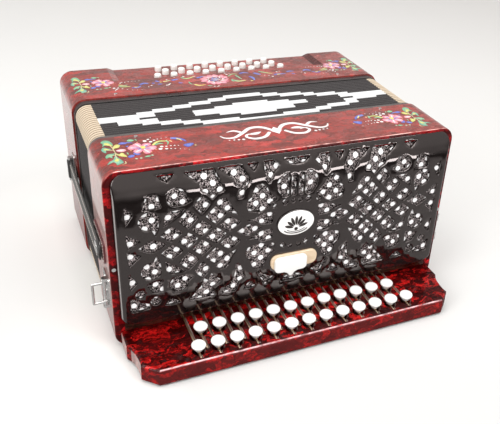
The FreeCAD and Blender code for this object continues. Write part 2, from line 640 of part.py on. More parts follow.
def bass_button_plate():
    """Floor of the recess, with one hole for each bass button."""
    half_x = RECESS_HALF - GAP
    plate = box(-half_x, half_x, RECESS_Y + GAP, END_Y - 0.4, RECESS_FLOOR - 5.9, RECESS_FLOOR)
    return plate.cut(group([
        rod(x, row.cap_y, RECESS_FLOOR - 10, Z_DIR, BUTTON_R + 0.35, 20)
        for row in BASS_ROWS for x in row.xs]))


def bass_cover():
    """End cover with two fields of sound slots and a hole for the air button."""
    inset = WALL + BOARD_GAP
    cover = rounded_slab(HALF - inset, inset, HEIGHT - WALL - 2.2, 6.5, END_Y - 6, END_Y - 1)
    slots = []
    for side in (-1, 1):
        for i in range(5):
            for j in range(5):
                x, z = side * (58 + 22 * j), 34 + 17 * i
                slots.append(rounded_box(
                    x - 8, x + 8, END_Y - 8, END_Y + 2, z - 2.2, z + 2.2, 2.1, Y_DIR))
    return cover.cut(group(slots)).cut(rod(AIR_X, END_Y - 12, AIR_Z, Y_DIR, 5.6, 20))


def bass_soundboard():
    holes = [boxes_at(row.xs, 4, BASS_DECK_Y - 1, BASS_DECK_BACK + 1,
                      row.pallet_z - 6, row.pallet_z + 6) for row in BASS_ROWS]
    holes.append(rod(AIR_X, BASS_DECK_Y - 2, AIR_Z, Y_DIR, 9.0, 12))
    return soundboard(BASS_DECK_Y, BASS_DECK_BACK).cut(group(holes))


def bass_reed_blocks():
    """Reed blocks on the bellows side of the bass soundboard."""
    y0, y1 = BASS_DECK_Y - 30, BASS_DECK_Y - GAP
    shapes = []
    for row in BASS_ROWS:
        shapes += reed_block(
            row.xs, (row.xs[0] - 9, row.xs[-1] + 9), (y0, y1), row.pallet_z, 9,
            cell=(6, y0 + 4, y1 + 1, 6.5), slot=(2.5, y0 + 7, y1 - 5, 12), plate=(8.8, 2, 1.8))
    return shapes


def bass_buttons(row):
    """Rounded caps with long stems that end just above their lever noses."""
    cap_z = RECESS_FLOOR - 9
    stem_z = row.nose_z + 0.25
    buttons = []
    for x in row.xs:
        cap = rod(x, row.cap_y, cap_z, Z_DIR, BUTTON_R, BUTTON_TOP - cap_z)
        cap = try_fillet(
            cap, lambda e: ends_at_z(e, BUTTON_TOP) and e.Curve.TypeId.endswith("Circle"), 1.5)
        buttons.append(cap.fuse(rod(x, row.y, stem_z, Z_DIR, 1.4, cap_z + 0.1 - stem_z)))
    return buttons


def bass_pallets(row):
    """Tube on the axle, with a nose under each stem, an arm and a pallet."""
    y, z = row.pivot_y, row.pivot_z
    start, span = row.xs[0], row.xs[-1] - row.xs[0]
    nose_y = (row.y - 2.4, y) if row.y < y else (y, row.y + 2.4)
    end_y, end_z = BASS_DECK_BACK + 4.0, row.pallet_z
    dy, dz = end_y - y, end_z - z
    arm_length = math.hypot(dy, dz)
    # half the arm's thickness, square to its run
    off_y, off_z = -dz / arm_length * 1.3, dy / arm_length * 1.3
    arm_outline = [(y + off_y, z + off_z), (y - off_y, z - off_z),
                   (end_y - off_y, end_z - off_z), (end_y + off_y, end_z + off_z)]
    bank = rod(start - 6, y, z, X_DIR, 3.0, span + 12)
    for x in row.xs:
        nose = box(x - 1.8, x + 1.8, *nose_y, row.nose_z - 2.6, row.nose_z)
        arm = prism_x(x - 1.6, x + 1.6, arm_outline)
        pallet = box(x - 6.6, x + 6.6, BASS_DECK_BACK + GAP, BASS_DECK_BACK + 4.6,
                     end_z - 8.5, end_z + 8.5)
        bank = bank.fuse(nose).fuse(arm).fuse(pallet)
    return bank.cut(rod(start - 10, y, z, X_DIR, TURN_R, span + 20))


def bass_axles():
    """Axles of the three banks, with posts on the soundboard."""
    shapes = []
    for row in BASS_ROWS:
        y, z = row.pivot_y, row.pivot_z
        start, end = row.xs[0], row.xs[-1]
        shapes.append(rod(start - 11, y, z, X_DIR, AXLE_R, end - start + 22))
        for x in (start - 9.2, end + 9.2):
            foot = box(x - 1.4, x + 1.4, BASS_DECK_BACK + GAP, y + 3, z - 10, z - 6)
            post = foot.fuse(box(x - 1.4, x + 1.4, y - 3, y + 3, z - 10, z + 3)).removeSplitter()
            shapes.append(post.cut(rod(x - 3, y, z, X_DIR, POST_R, 6)))
    return shapes


def air_button():
    """Cap outside the cover, rod, and valve disc on the bellows side of the soundboard."""
    cap = rod(AIR_X, END_Y - 5.5, AIR_Z, Y_DIR, 5.2, 12.5)
    cap = try_fillet(cap, lambda e: lies_at_y(e, END_Y + 7.0), 1.8)
    stem = rod(AIR_X, BASS_DECK_Y - 4.0, AIR_Z, Y_DIR, 1.8, END_Y - BASS_DECK_Y)
    valve = rod(AIR_X, BASS_DECK_Y - 5 - GAP, AIR_Z, Y_DIR, 13.0, 5.0)
    return cap.fuse(stem).fuse(valve).removeSplitter()


save("bass_casing", bass_casing())
save("bass_button_plate", bass_button_plate())
save("bass_cover", bass_cover())
save("bass_soundboard", bass_soundboard())
save("bass_reed_blocks", bass_reed_blocks())
for row in BASS_ROWS:
    save("bass_buttons_%s" % row.name, bass_buttons(row))
    save("bass_pallets_%s" % row.name, bass_pallets(row))
save("bass_axles", bass_axles())
save("air_button", air_button())

# ---------------------------------------------------------------- hand strap over the bass end
HAND_Z0, HAND_Z1 = 62.0, 132.0


def hand_strap():
    """Bowed band with a short flat at each end."""
    foot_y, rise, steps = END_Y + 2.2, 24.0, 24
    under = [(-158.0, foot_y)]
    for i in range(steps + 1):
        t = -1 + 2.0 * i / steps
        under.append((t * 149.0, foot_y + rise * (1 - abs(t) ** 2.6)))
    under.append((158.0, foot_y))
    return prism_z(HAND_Z0, HAND_Z1, under + [(x, y + 2.6) for x, y in reversed(under)])


def hand_strap_bracket():
    """Plate on the bass end with a hook over the end of the strap."""
    face_y, top_y = END_Y + 1.6, END_Y + 7.0
    z0, z1 = HAND_Z0 + 8, HAND_Z1 - 8
    bracket = rounded_box(150, 170, END_Y - 0.95, face_y, z0 - 2, z1 + 2, 4.0, Y_DIR)
    bracket = bracket.fuse(box(159, 162.2, face_y, top_y, z0, z1))
    bracket = bracket.fuse(box(150, 162.2, top_y - 1.6, top_y, z0, z1))
    for z in (HAND_Z0 + 14, HAND_Z1 - 14):
        bracket = bracket.fuse(rod(166, face_y, z, Y_DIR, 2.6, 1.0))
    return bracket.removeSplitter()


save("hand_strap", hand_strap())
save("hand_strap_brackets", pair(hand_strap_bracket()))
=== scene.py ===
"""Button accordion, standing on its lower long side.

X runs along the casings and Z is up. The treble side with its grille and keys is towards -Y,
the bellows fill the middle and the bass side with its hand strap is towards +Y.
The model is written in millimetres and scaled once, in make(); shaders, lights and the
camera are in metres.
"""
import math
import random

import bpy
import numpy as np
from mathutils import Matrix, Vector
from mathutils.geometry import delaunay_2d_cdt


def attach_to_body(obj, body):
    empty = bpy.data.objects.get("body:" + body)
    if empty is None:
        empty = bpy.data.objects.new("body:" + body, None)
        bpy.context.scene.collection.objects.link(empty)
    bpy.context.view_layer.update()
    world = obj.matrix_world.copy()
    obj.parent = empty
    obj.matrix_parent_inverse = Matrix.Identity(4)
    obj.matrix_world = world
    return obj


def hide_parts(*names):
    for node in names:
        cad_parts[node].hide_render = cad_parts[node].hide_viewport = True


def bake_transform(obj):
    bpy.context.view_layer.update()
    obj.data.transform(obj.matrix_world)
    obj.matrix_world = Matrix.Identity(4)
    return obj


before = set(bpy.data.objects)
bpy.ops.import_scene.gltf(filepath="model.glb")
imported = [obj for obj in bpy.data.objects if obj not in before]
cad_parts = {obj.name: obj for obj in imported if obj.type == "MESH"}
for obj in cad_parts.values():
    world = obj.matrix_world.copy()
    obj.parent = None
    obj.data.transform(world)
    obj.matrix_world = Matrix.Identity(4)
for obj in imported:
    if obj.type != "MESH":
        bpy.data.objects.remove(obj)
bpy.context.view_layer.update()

scene = bpy.context.scene
MM = 0.001

# Driving sizes, shared with the CAD
WIDTH, HEIGHT, EDGE_RADIUS = 370.0, 196.0, 15.0
FRONT_Y, BACK_Y = -36.0, 231.0      # front face of the treble casing, end of the bass casing


# ---------------------------------------------------------------- meshes
def make(name, verts, faces, materials, slots=None, sharp=None):
    """Smooth-shaded object from millimetres; edges steeper than sharp degrees stay hard."""
    mesh = bpy.data.meshes.new(name)
    points = (np.asarray(verts, float) * MM).tolist()
    mesh.from_pydata(points, [], [tuple(int(i) for i in face) for face in faces])
    for material in materials:
        mesh.materials.append(material)
    if slots is not None:
        mesh.polygons.foreach_set("material_index", slots)
    mesh.polygons.foreach_set("use_smooth", [True] * len(mesh.polygons))
    if sharp is not None:
        mesh.set_sharp_from_angle(angle=math.radians(sharp))
    mesh.update()
    ob = bpy.data.objects.new(name, mesh)
    scene.collection.objects.link(ob)
    return ob


def attach(ob, body, replaced):
    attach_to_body(ob, body)
    if replaced:
        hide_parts(replaced)


class Parts:
    """Collects several shapes, each a pair (vertices, faces), for one object."""

    def __init__(self):
        self.verts, self.faces, self.slots, self.colors = [], [], [], []

    def add(self, shape, slot=0, colors=()):
        """slot is one material index, or a list with one for each face."""
        verts, faces = shape
        first = len(self.verts)
        self.verts += [tuple(map(float, point)) for point in verts]
        self.faces += [tuple(int(i) + first for i in face) for face in faces]
        self.slots += slot if isinstance(slot, list) else [slot] * len(faces)
        self.colors += colors

    def mirror_x(self):
        self.verts = [(-x, y, z) for x, y, z in self.verts]
        self.faces = [face[::-1] for face in self.faces]

    def build(self, name, materials, sharp=None):
        ob = make(name, self.verts, self.faces, materials, self.slots, sharp)
        if self.colors:
            layer = ob.data.color_attributes.new("Col", "FLOAT_COLOR", "POINT")
            rgba = np.array([(*color, 1.0) for color in self.colors], np.float32)
            layer.data.foreach_set("color", rgba.ravel())
        return ob


def unit(vector):
    return vector / np.linalg.norm(vector)


def catmull(points, steps, closed=False):
    """Catmull-Rom curve through the points."""
    points = [np.array(p, float) for p in points]
    count = len(points)
    curve = []
    for i in range(count if closed else count - 1):
        start, end = points[i], points[(i + 1) % count]
        before = points[i - 1] if closed or i > 0 else 2 * start - end
        after = points[(i + 2) % count] if closed or i + 2 < count else 2 * end - start
        for k in range(steps):
            t = k / steps
            curve.append(0.5 * ((2 * start) + (-before + end) * t
                                + (2 * before - 5 * start + 4 * end - after) * t * t
                                + (-before + 3 * start - 3 * end + after) * t ** 3))
    if not closed:
        curve.append(points[-1])
    return curve


def loft(rings, flipped=False):
    """Skin over equal rings with both ends capped; the two caps are the last faces."""
    size = len(rings[0])
    faces = []
    for low in range(0, (len(rings) - 1) * size, size):
        high = low + size
        for k in range(size):
            k2 = (k + 1) % size
            quad = (low + k, low + k2, high + k2, high + k)
            faces.append((quad[0],) + quad[:0:-1] if flipped else quad)
    first = tuple(range(size))
    last = tuple(range((len(rings) - 1) * size, len(rings) * size))
    faces += [first, last[::-1]] if flipped else [first[::-1], last]
    return [point for ring in rings for point in ring], faces


def lathe(profile, centre, segments, steps, axis="Z"):
    """Turned shape from (radius, height) points, its axis along Z or X."""
    if steps > 1:
        profile = catmull(profile, steps)
    verts, rings, faces = [], [], []
    for radius, height in profile:
        first = len(verts)
        if radius < 1e-6:
            rings.append([first])
            verts.append((0, 0, height))
            continue
        rings.append(list(range(first, first + segments)))
        angles = [2 * math.pi * k / segments for k in range(segments)]
        verts += [(radius * math.cos(a), radius * math.sin(a), height) for a in angles]
    for low, high in zip(rings, rings[1:]):
        if len(low) == 1 and len(high) == 1:
            continue
        for k in range(segments):
            k2 = (k + 1) % segments
            if len(low) == 1:
                faces.append((low[0], high[k2], high[k]))
            elif len(high) == 1:
                faces.append((low[k], low[k2], high[0]))
            else:
                faces.append((low[k], low[k2], high[k2], high[k]))
    if axis == "X":
        verts = [(z, x, y) for x, y, z in verts]
    cx, cy, cz = centre
    return [(cx + x, cy + y, cz + z) for x, y, z in verts], faces


def sweep(path, radius, segments):
    """Round rod along a path."""
    points = [np.array(p, float) for p in path]
    last = len(points) - 1
    tangents = [unit(points[min(i + 1, last)] - points[max(i - 1, 0)]) for i in range(last + 1)]
    up = np.array((0.0, 0.0, 1.0) if abs(tangents[0][2]) < 0.9 else (1.0, 0.0, 0.0))
    side = unit(np.cross(up, tangents[0]))
    angles = [2 * math.pi * k / segments for k in range(segments)]
    rings = []
    for point, tangent in zip(points, tangents):
        side = unit(side - tangent * (side @ tangent))
        other = np.cross(tangent, side)
        rings.append([point + radius * (math.cos(a) * side + math.sin(a) * other)
                      for a in angles])
    return loft(rings)


def rounded_box(x_range, y_range, z_range, ease):
    """Box with all edges rounded by ease."""
    (x0, x1), (y0, y1), (z0, z1) = x_range, y_range, z_range
    low, high = z0 + ease, z1 - ease
    rings = []
    for latitude, z in ((-90, low), (-45, low), (0, low), (0, high), (45, high), (90, high)):
        lat = math.radians(latitude)
        ring = []
        for quarter in range(4):
            x = x1 - ease if quarter in (0, 3) else x0 + ease
            y = y1 - ease if quarter in (0, 1) else y0 + ease
            for k in range(3):
                turn = math.radians(90 * quarter + 45 * k)
                ring.append((x + ease * math.cos(lat) * math.cos(turn),
                             y + ease * math.cos(lat) * math.sin(turn),
                             z + ease * math.sin(lat)))
        rings.append(ring)
    return loft(rings)


# ---------------------------------------------------------------- flat loops
def ellipse(x, z, a, b, count):
    angles = [2 * math.pi * k / count for k in range(count)]
    return [(x + a * math.cos(t), z + b * math.sin(t)) for t in angles]


def rounded_loop(x0, x1, z0, z1, radius, steps=8, top_radius=None):
    """Anticlockwise rectangle with rounded corners, from its lower right corner."""
    top = top_radius or radius
    loop = []
    for cx, cz, r, start in ((x1 - radius, z0 + radius, radius, -90), (x1 - top, z1 - top, top, 0),
                             (x0 + top, z1 - top, top, 90),
                             (x0 + radius, z0 + radius, radius, 180)):
        angles = [math.radians(start + 90 * k / steps) for k in range(steps + 1)]
        loop += [(cx + r * math.cos(a), cz + r * math.sin(a)) for a in angles]
    return loop


def soften(loop, shares=(0.06, 0.20)):
    """Cut the corners of a loop, once for each share of the edge length."""
    for share in shares:
        cut = []
        for i in range(len(loop)):
            a, b = np.array(loop[i]), np.array(loop[(i + 1) % len(loop)])
            cut += [tuple(a + (b - a) * share), tuple(b + (a - b) * share)]
        loop = cut
    return loop


def signed_area(loop):
    """Twice the area, positive for an anticlockwise loop."""
    return sum(a[0] * b[1] - b[0] * a[1] for a, b in zip(loop, loop[1:] + loop[:1]))


def anticlockwise(loop):
    return loop if signed_area(loop) > 0 else loop[::-1]


def offset(loop, distance):
    """Anticlockwise loop moved outwards by distance."""
    moved, count = [], len(loop)
    for i in range(count):
        a, b, c = np.array(loop[i - 1]), np.array(loop[i]), np.array(loop[(i + 1) % count])
        before, after = b - a, c - b
        n1 = np.array((before[1], -before[0])) / max(np.linalg.norm(before), 1e-9)
        n2 = np.array((after[1], -after[0])) / max(np.linalg.norm(after), 1e-9)
        middle = n1 + n2
        length = np.linalg.norm(middle)
        middle = middle / length if length > 1e-6 else n1
        moved.append(tuple(b + middle * distance / max(0.6, float(middle @ n1))))
    return moved


def plate(loop, y_front, y_back, ease, dome=0.0, steps=4):
    """Raised plate from an outline in X, Z; its eased and domed front is towards -Y."""
    cx = sum(p[0] for p in loop) / len(loop)
    cz = sum(p[1] for p in loop) / len(loop)
    loop = anticlockwise(loop)
    rings = [[(x, y_back, z) for x, z in loop]]
    for k in range(steps + 1):
        a = math.pi / 2 * k / steps
        y = y_front + ease * (1 - math.sin(a))
        rings.append([(x, y, z) for x, z in offset(loop, -ease * (1 - math.cos(a)))])
    face = offset(loop, -ease)
    for t in (0.8, 0.5, 0.2):
        y = y_front - dome * (1 - t * t)
        rings.append([(cx + (x - cx) * t, y, cz + (z - cz) * t) for x, z in face])
    return loft(rings)


# ---------------------------------------------------------------- shader nodes
class Value:
    """Output of a shader node; arithmetic on it adds Math or Vector Math nodes."""

    def __init__(self, socket, scalar=None):
        self.socket = socket
        self.scalar = socket.type == "VALUE" if scalar is None else scalar

    def __add__(self, other):
        return calculate("ADD", self, other)

    def __radd__(self, other):
        return calculate("ADD", other, self)

    def __sub__(self, other):
        return calculate("SUBTRACT", self, other)

    def __rsub__(self, other):
        return calculate("SUBTRACT", other, self)

    def __mul__(self, other):
        return calculate("MULTIPLY", self, other)

    def __rmul__(self, other):
        return calculate("MULTIPLY", other, self)


def plug(socket, value):
    """Link a Value, or set a constant; None leaves the socket alone."""
    if isinstance(value, Value):
        socket.id_data.links.new(value.socket, socket)
    elif value is not None:
        is_color = isinstance(value, tuple) and socket.type == "RGBA"
        socket.default_value = (*value, 1) if is_color else value


def node(kind, inputs, output=0, tree=None, **settings):
    """New node in the tree of its linked inputs; a node without any needs the tree."""
    for value in inputs.values():
        if isinstance(value, Value):
            tree = value.socket.id_data
    new = tree.nodes.new(kind)
    for key, setting in settings.items():
        setattr(new, key, setting)
    for key, value in inputs.items():
        plug(new.inputs[key], value)
    return Value(new.outputs[output])


def calculate(operation, first, second=None, clamp=False):
    if all(v.scalar for v in (first, second) if isinstance(v, Value)):
        return node("ShaderNodeMath", {0: first, 1: second}, operation=operation, use_clamp=clamp)
    if operation == "MULTIPLY" and isinstance(second, (int, float)):
        return node("ShaderNodeVectorMath", {0: first, "Scale": second}, operation="SCALE")
    output = 1 if operation == "DOT_PRODUCT" else 0
    return node("ShaderNodeVectorMath", {0: first, 1: second}, output, operation=operation)


def dot(vector, direction):
    return calculate("DOT_PRODUCT", vector, direction)


def normalize(vector):
    return calculate("NORMALIZE", vector)


def less(value, limit):
    return calculate("LESS_THAN", value, limit)


def greater(value, limit):
    return calculate("GREATER_THAN", value, limit)


def split(vector):
    outputs = node("ShaderNodeSeparateXYZ", {0: vector}).socket.node.outputs
    return [Value(socket) for socket in outputs]


def combine(x, y, z):
    return node("ShaderNodeCombineXYZ", {0: x, 1: y, 2: z})


def ramp(value, stops):
    """Linear ramp through (position, level or colour) stops."""
    result = node("ShaderNodeValToRGB", {0: value})
    elements = result.socket.node.color_ramp.elements
    scalar = not isinstance(stops[0][1], tuple)
    while len(elements) < len(stops):
        elements.new(0.5)
    for element, (position, color) in zip(elements, stops):
        element.position = position
        element.color = (color, color, color, 1) if scalar else (*color, 1)
    return Value(result.socket, scalar)


def rise(value, start, end):
    """0 up to start, 1 from end on."""
    return ramp(value, [(start, 0.0), (end, 1.0)])


def mix(factor, a, b, blend="MIX"):
    return node("ShaderNodeMix", {0: factor, 6: a, 7: b}, 2, data_type="RGBA", blend_type=blend)


def noise(place, scale, detail=3.0, rough=0.5, distortion=0.0, output="Fac"):
    return node("ShaderNodeTexNoise", {"Vector": place, "Scale": scale, "Detail": detail,
                                       "Roughness": rough, "Distortion": distortion}, output)


def centred_noise(place, scale, detail, rough):
    """Vector noise about zero."""
    return noise(place, scale, detail, rough, output="Color") - HALF


def voronoi(place, scale, output="Distance", feature="F1", randomness=1.0):
    return node("ShaderNodeTexVoronoi",
                {"Vector": place, "Scale": scale, "Randomness": randomness},
                output, feature=feature)


def bump(height, strength, distance, normal=None):
    return node("ShaderNodeBump", {"Height": height, "Strength": strength,
                                   "Distance": distance, "Normal": normal})


def object_place(tree):
    return node("ShaderNodeTexCoord", {}, "Object", tree)


def face_normal(tree):
    return node("ShaderNodeNewGeometry", {}, "Normal", tree)


def vertex_color(tree):
    return node("ShaderNodeVertexColor", {}, "Color", tree, layer_name="Col")


def light_path(tree, output):
    return node("ShaderNodeLightPath", {}, output, tree)


def new_material(name):
    material = bpy.data.materials.new(name)
    material.use_nodes = True
    material.node_tree.nodes.clear()
    return material, material.node_tree


SURFACE_INPUTS = {
    "color": "Base Color", "metal": "Metallic", "rough": "Roughness", "normal": "Normal",
    "coat": "Coat Weight", "coat_rough": "Coat Roughness", "coat_normal": "Coat Normal",
    "sheen": "Sheen Weight", "sheen_rough": "Sheen Roughness",
    "spec": "Specular IOR Level", "spec_tint": "Specular Tint"}


def surface(material, **inputs):
    """Finish the material with a Principled surface."""
    tree = material.node_tree
    inputs = {SURFACE_INPUTS[key]: value for key, value in inputs.items()}
    shader = node("ShaderNodeBsdfPrincipled", inputs, tree=tree)
    node_out = tree.nodes.new("ShaderNodeOutputMaterial")
    plug(node_out.inputs[0], shader)
    return material


# ---------------------------------------------------------------- materials
HALF = (0.5, 0.5, 0.5)


def blend_tones(a, b, share):
    return tuple((1 - share) * p + share * q for p, q in zip(a, b))


def pearl(name, dark, mid, hot, flash, contrast, spec=0.35, coat=0.85, highlight_gain=0.75,
          shading_gain=1.0, size=1.0, front_tone=None, front_add=None,
          highlight_color=(1.0, 0.62, 0.56), highlight_range=(0.955, 0.990), highlight_floor=0.10):
    """Red pearloid sheet: flakes drawn out along X under a clear skin.

    front_tone multiplies and front_add lifts the faces towards -Y, painted shade and painted
    light; without them these faces get a darker ramp of their own, painted shade. The highlight
    gain, colour, range and floor paint a highlight on the eased front upper edge; the gain
    also scales a painted reflection on the end faces.
    """
    material, tree = new_material(name)
    place = object_place(tree)
    flake_size = (0.50 * size, size, size)
    warp = centred_noise(place, scale=70, detail=3, rough=0.6) * 0.018
    flakes = place * flake_size + warp * size
    coarse = voronoi(flakes, scale=95, output="Color")
    fine = voronoi(flakes, scale=280, output="Color")
    coarse_tone = split(coarse)[0]
    fine_tone = split(fine)[0]
    ripple = noise(flakes + coarse * 0.35, scale=150, detail=3, rough=0.6)
    cloud = noise(place * flake_size, scale=30, detail=3, rough=0.6)
    tone = coarse_tone * 0.40 + fine_tone * 0.20
    tone = tone + (ripple - 0.3) * 0.75
    tone = tone + (cloud - 0.5) * 0.45
    tone = 0.5 + (tone - 0.5) * contrast
    color = ramp(tone, [(0.0, dark), (0.30, blend_tones(dark, mid, 0.3)), (0.50, mid),
                        (0.68, blend_tones(mid, hot, 0.5)), (0.84, hot), (1.0, flash)])
    facing = face_normal(tree)
    normal = normalize(facing + (mix(0.45, coarse, fine) - HALF) * 0.75)
    peel = bump(noise(place, scale=320, detail=2), strength=0.030, distance=0.0003)
    x, y, z = split(place)
    facing_x, facing_y, _ = split(facing)
    on_treble = less(y, 0.040)
    front = rise(facing_y * -1.0, 0.50, 0.72) * less(y, -0.025)

    # painted highlight: a pale broken band where the front turns into the top
    edge = rise(dot(facing, (0.0, -0.50, 0.866)), *highlight_range) * less(y, -0.025)
    broken = ramp(noise(place * (0.5, 1.0, 1.0), scale=210, detail=4, rough=0.65),
                  [(0.38, highlight_floor), (0.60, 1.0)])
    color = mix(edge * broken * highlight_gain, color, highlight_color)
    # painted shade and light: the faces towards -Y are recoloured, darker by front_tone or the
    # dark ramp, lighter by front_add
    if front_tone:
        front_shading = mix(1.0, color, front_tone, "MULTIPLY") + front_add
    else:
        front_shading = ramp(tone, [(0.0, (0.018, 0.001, 0.001)), (0.44, (0.060, 0.0012, 0.0018)),
                                  (0.60, (0.24, 0.0035, 0.005)), (0.78, (0.66, 0.010, 0.014)),
                                  (1.0, (1.0, 0.20, 0.16))])
    color = mix(front * shading_gain, color, front_shading)

    # painted shade: the upright corner between the front and the +X side is darkened
    corner = rise(dot(facing, (0.66, -0.75, 0.0)), 0.80, 0.93) * on_treble
    color = mix(corner * (0.80 * shading_gain), color, (0.035, 0.002, 0.002))
    # painted shade: the faces towards -X near the top at the +X end of the bass side are darkened
    recess_wall_shade = ((greater(x, 0.10) * greater(y, 0.13))
             * (greater(z, 0.1915) * rise(facing_x * -1.0, 0.20, 0.40)))
    color = mix(recess_wall_shade * (0.80 * shading_gain), color, (0.030, 0.003, 0.003))
    # painted reflection: a pale glare on the end faces at a grazing view
    grazing = node("ShaderNodeLayerWeight", {"Blend": 0.5}, "Facing", tree)
    glare = rise(calculate("ABSOLUTE", facing_x), 0.86, 0.985) * rise(grazing, 0.36, 0.60)
    glare = glare * (0.12 + on_treble * 0.54)
    color = mix(glare * highlight_gain, color, (0.84, 0.66, 0.62))

    # the front and its corner shine less
    calm = 1.0 - calculate("MAXIMUM", front, corner) * 0.72
    return surface(
        material, color=color, metal=0.25, rough=0.45, normal=normal, coat=coat * calm,
        coat_rough=0.02 + noise(place, scale=45, detail=4, rough=0.6) * 0.06, coat_normal=peel,
        spec=spec * calculate("SUBTRACT", calm, (1.0 - calm) * 0.2, clamp=True))


def black_gloss(name):
    material, tree = new_material(name)
    place = object_place(tree)
    cloud = noise(place, scale=40, detail=4, rough=0.6)
    fine = noise(place, scale=900, detail=2, rough=0.6)
    dust = ramp(voronoi(place, scale=700), [(0.0, 1.0), (0.07, 0.0)])
    ground = mix(cloud, (0.0030, 0.0020, 0.0019), (0.0062, 0.0042, 0.0040))
    color = mix(dust * 0.25, ground, (0.07, 0.06, 0.057))
    # the pressed sheet leans back a little more towards the ridge
    lean = ramp((split(place)[2] - 0.130) * 18.0,
                [(0.0, 0.0), (0.06, 0.0), (0.27, 0.145), (0.54, 0.175), (0.756, 0.225),
                 (0.80, 0.225), (0.864, 0.09), (0.954, 0.0)])
    facing = face_normal(tree)
    wave = 1.0 + (noise(place * (1.0, 0.0, 0.4), scale=34, detail=2) - 0.5) * 0.9
    normal = normalize(facing + combine(0.0, 0.0, lean * wave))
    # painted highlight: a pale rim where the rounded -X side turns to the front
    rim = ramp(dot(facing, (-0.90, -0.436, 0.0)), [(0.0, 0.0), (0.982, 0.0), (0.997, 1.0)])
    color = mix(rim * 0.6, color, (0.42, 0.40, 0.39))
    waviness = noise(place, scale=160, detail=2)
    return surface(
        material, color=color, rough=0.035 + cloud * 0.05, spec=0.95,
        spec_tint=(1.0, 0.87, 0.85), coat=0.16, coat_rough=0.03,
        normal=bump(waviness, strength=0.05, distance=0.0004, normal=normal),
        coat_normal=bump(fine, strength=0.01, distance=0.0001, normal=normal))


def glitter(name):
    """Dark cloth with metallic specks and round white spots on a diagonal lattice."""
    spot_pitch = 0.0102
    material, tree = new_material(name)
    x, _, z = split(object_place(tree))
    flat = combine(x, 0.0, z)
    wobble = centred_noise(flat, scale=180, detail=2, rough=0.5) * 0.0018
    lattice = node("ShaderNodeVectorRotate",
                   {"Vector": flat + wobble, "Axis": (0, 1, 0), "Angle": math.radians(45)},
                   rotation_type="AXIS_ANGLE")
    spot = ramp(voronoi(lattice, scale=1 / spot_pitch, randomness=0.10),
                [(0.0, 1.0), (0.262, 1.0), (0.30, 0.0)])
    threads = voronoi(flat, scale=1250, output="Color")
    thread_x, thread_y, _ = split(threads)
    grain = noise(flat, scale=620, detail=3, rough=0.7)
    speck = ramp(thread_x * 0.55 + grain * 0.55,
                 [(0.0, 0.0), (0.54, 0.0), (0.63, 0.36), (0.77, 1.0)])
    tint = mix(thread_y, (0.50, 0.42, 0.43), (0.76, 0.68, 0.66))
    ground = mix(speck, (0.005, 0.003, 0.003), tint)
    scuff = noise(flat, scale=420, detail=3, rough=0.6)
    white = mix(scuff, (0.80, 0.79, 0.80), (0.97, 0.96, 0.96))
    # only the cloth between the spots sparkles
    tilt = (threads - HALF) * 0.9
    normal = normalize(face_normal(tree)
                       + tilt * combine(1.0 - spot, 1.0 - spot, 1.0 - spot))
    return surface(
        material, color=mix(spot, ground, white), metal=(1.0 - spot) * 0.55,
        rough=0.55 - speck * 0.25, spec=0.10 + speck * 0.35,
        normal=bump(grain + spot * 0.8, strength=0.5, distance=0.0002, normal=normal))


def white_plastic(name, dark, light, rough=0.16):
    material, tree = new_material(name)
    place = object_place(tree)
    cloud = noise(place, scale=120, detail=4, rough=0.6)
    swirl = noise(place * (1.0, 3.0, 1.0), scale=60, detail=3, rough=0.6, distortion=1.5)
    return surface(
        material, color=mix(swirl, dark, light), rough=(rough - 0.04) + cloud * 0.10, coat=0.3,
        coat_rough=0.08,
        normal=bump(noise(place, scale=700, detail=2), strength=0.04, distance=0.0001))


def metal(name, dark=(0.62, 0.61, 0.60), light=(0.80, 0.79, 0.78), rough=0.18, brushed=0.0,
          spots=(0.25, 0.22, 0.19)):
    material, tree = new_material(name)
    place = object_place(tree)
    cloud = noise(place, scale=90, detail=5, rough=0.65)
    brush = noise(place * (1.0, 14.0, 1.0), scale=260, detail=3, rough=0.6)
    wear = ramp(noise(place, scale=240, detail=4, rough=0.7),
                [(0.0, 0.0), (0.62, 0.0), (0.80, 1.0)])
    return surface(
        material, color=mix(wear * 0.45, mix(cloud, dark, light), spots), metal=1.0,
        rough=rough + (cloud + wear) * 0.14,
        normal=bump(cloud * 0.4 + brush * brushed, strength=0.12, distance=0.0002))


def leather(name, dark, worn, rough, grain, coat, crease=0.6):
    material, tree = new_material(name)
    place = object_place(tree)
    shift = noise(place, scale=300, detail=2, output="Color") * 0.0015
    cells = rise(voronoi(place + shift, grain, feature="DISTANCE_TO_EDGE"), 0.0, 0.18)
    cloud = noise(place, scale=70, detail=5, rough=0.6)
    color = mix(rise(cloud, 0.35, 0.75), dark, worn)
    color = mix((1.0 - cells) * crease, color, tuple(c * 0.35 for c in dark))
    return surface(
        material, color=color, rough=rough + (cloud - 0.5) * 0.25, coat=coat, coat_rough=0.25,
        normal=bump(cells * 0.6 + cloud * 0.5, strength=0.45, distance=0.00025), spec=0.45)


def wood(name, dark, light):
    """Wood with its grain along X."""
    stretch = (0.06, 1.0, 1.0)
    material, tree = new_material(name)
    place = object_place(tree)
    rings = noise(place * stretch, scale=240, detail=4, rough=0.6, distortion=0.8)
    fine = noise(place * tuple(3 * s for s in stretch), scale=900, detail=3, rough=0.6)
    return surface(
        material, color=mix(rings * 0.8 + fine * 0.2, dark, light), rough=0.45 + fine * 0.2,
        normal=bump(rings + fine, strength=0.2, distance=0.0002))


def thread_bands(place, direction):
    inputs = {"Vector": place, "Scale": 420.0, "Distortion": 1.2, "Detail": 2.0,
              "Detail Scale": 6.0}
    return node("ShaderNodeTexWave", inputs, "Fac", wave_type="BANDS",
                bands_direction=direction)


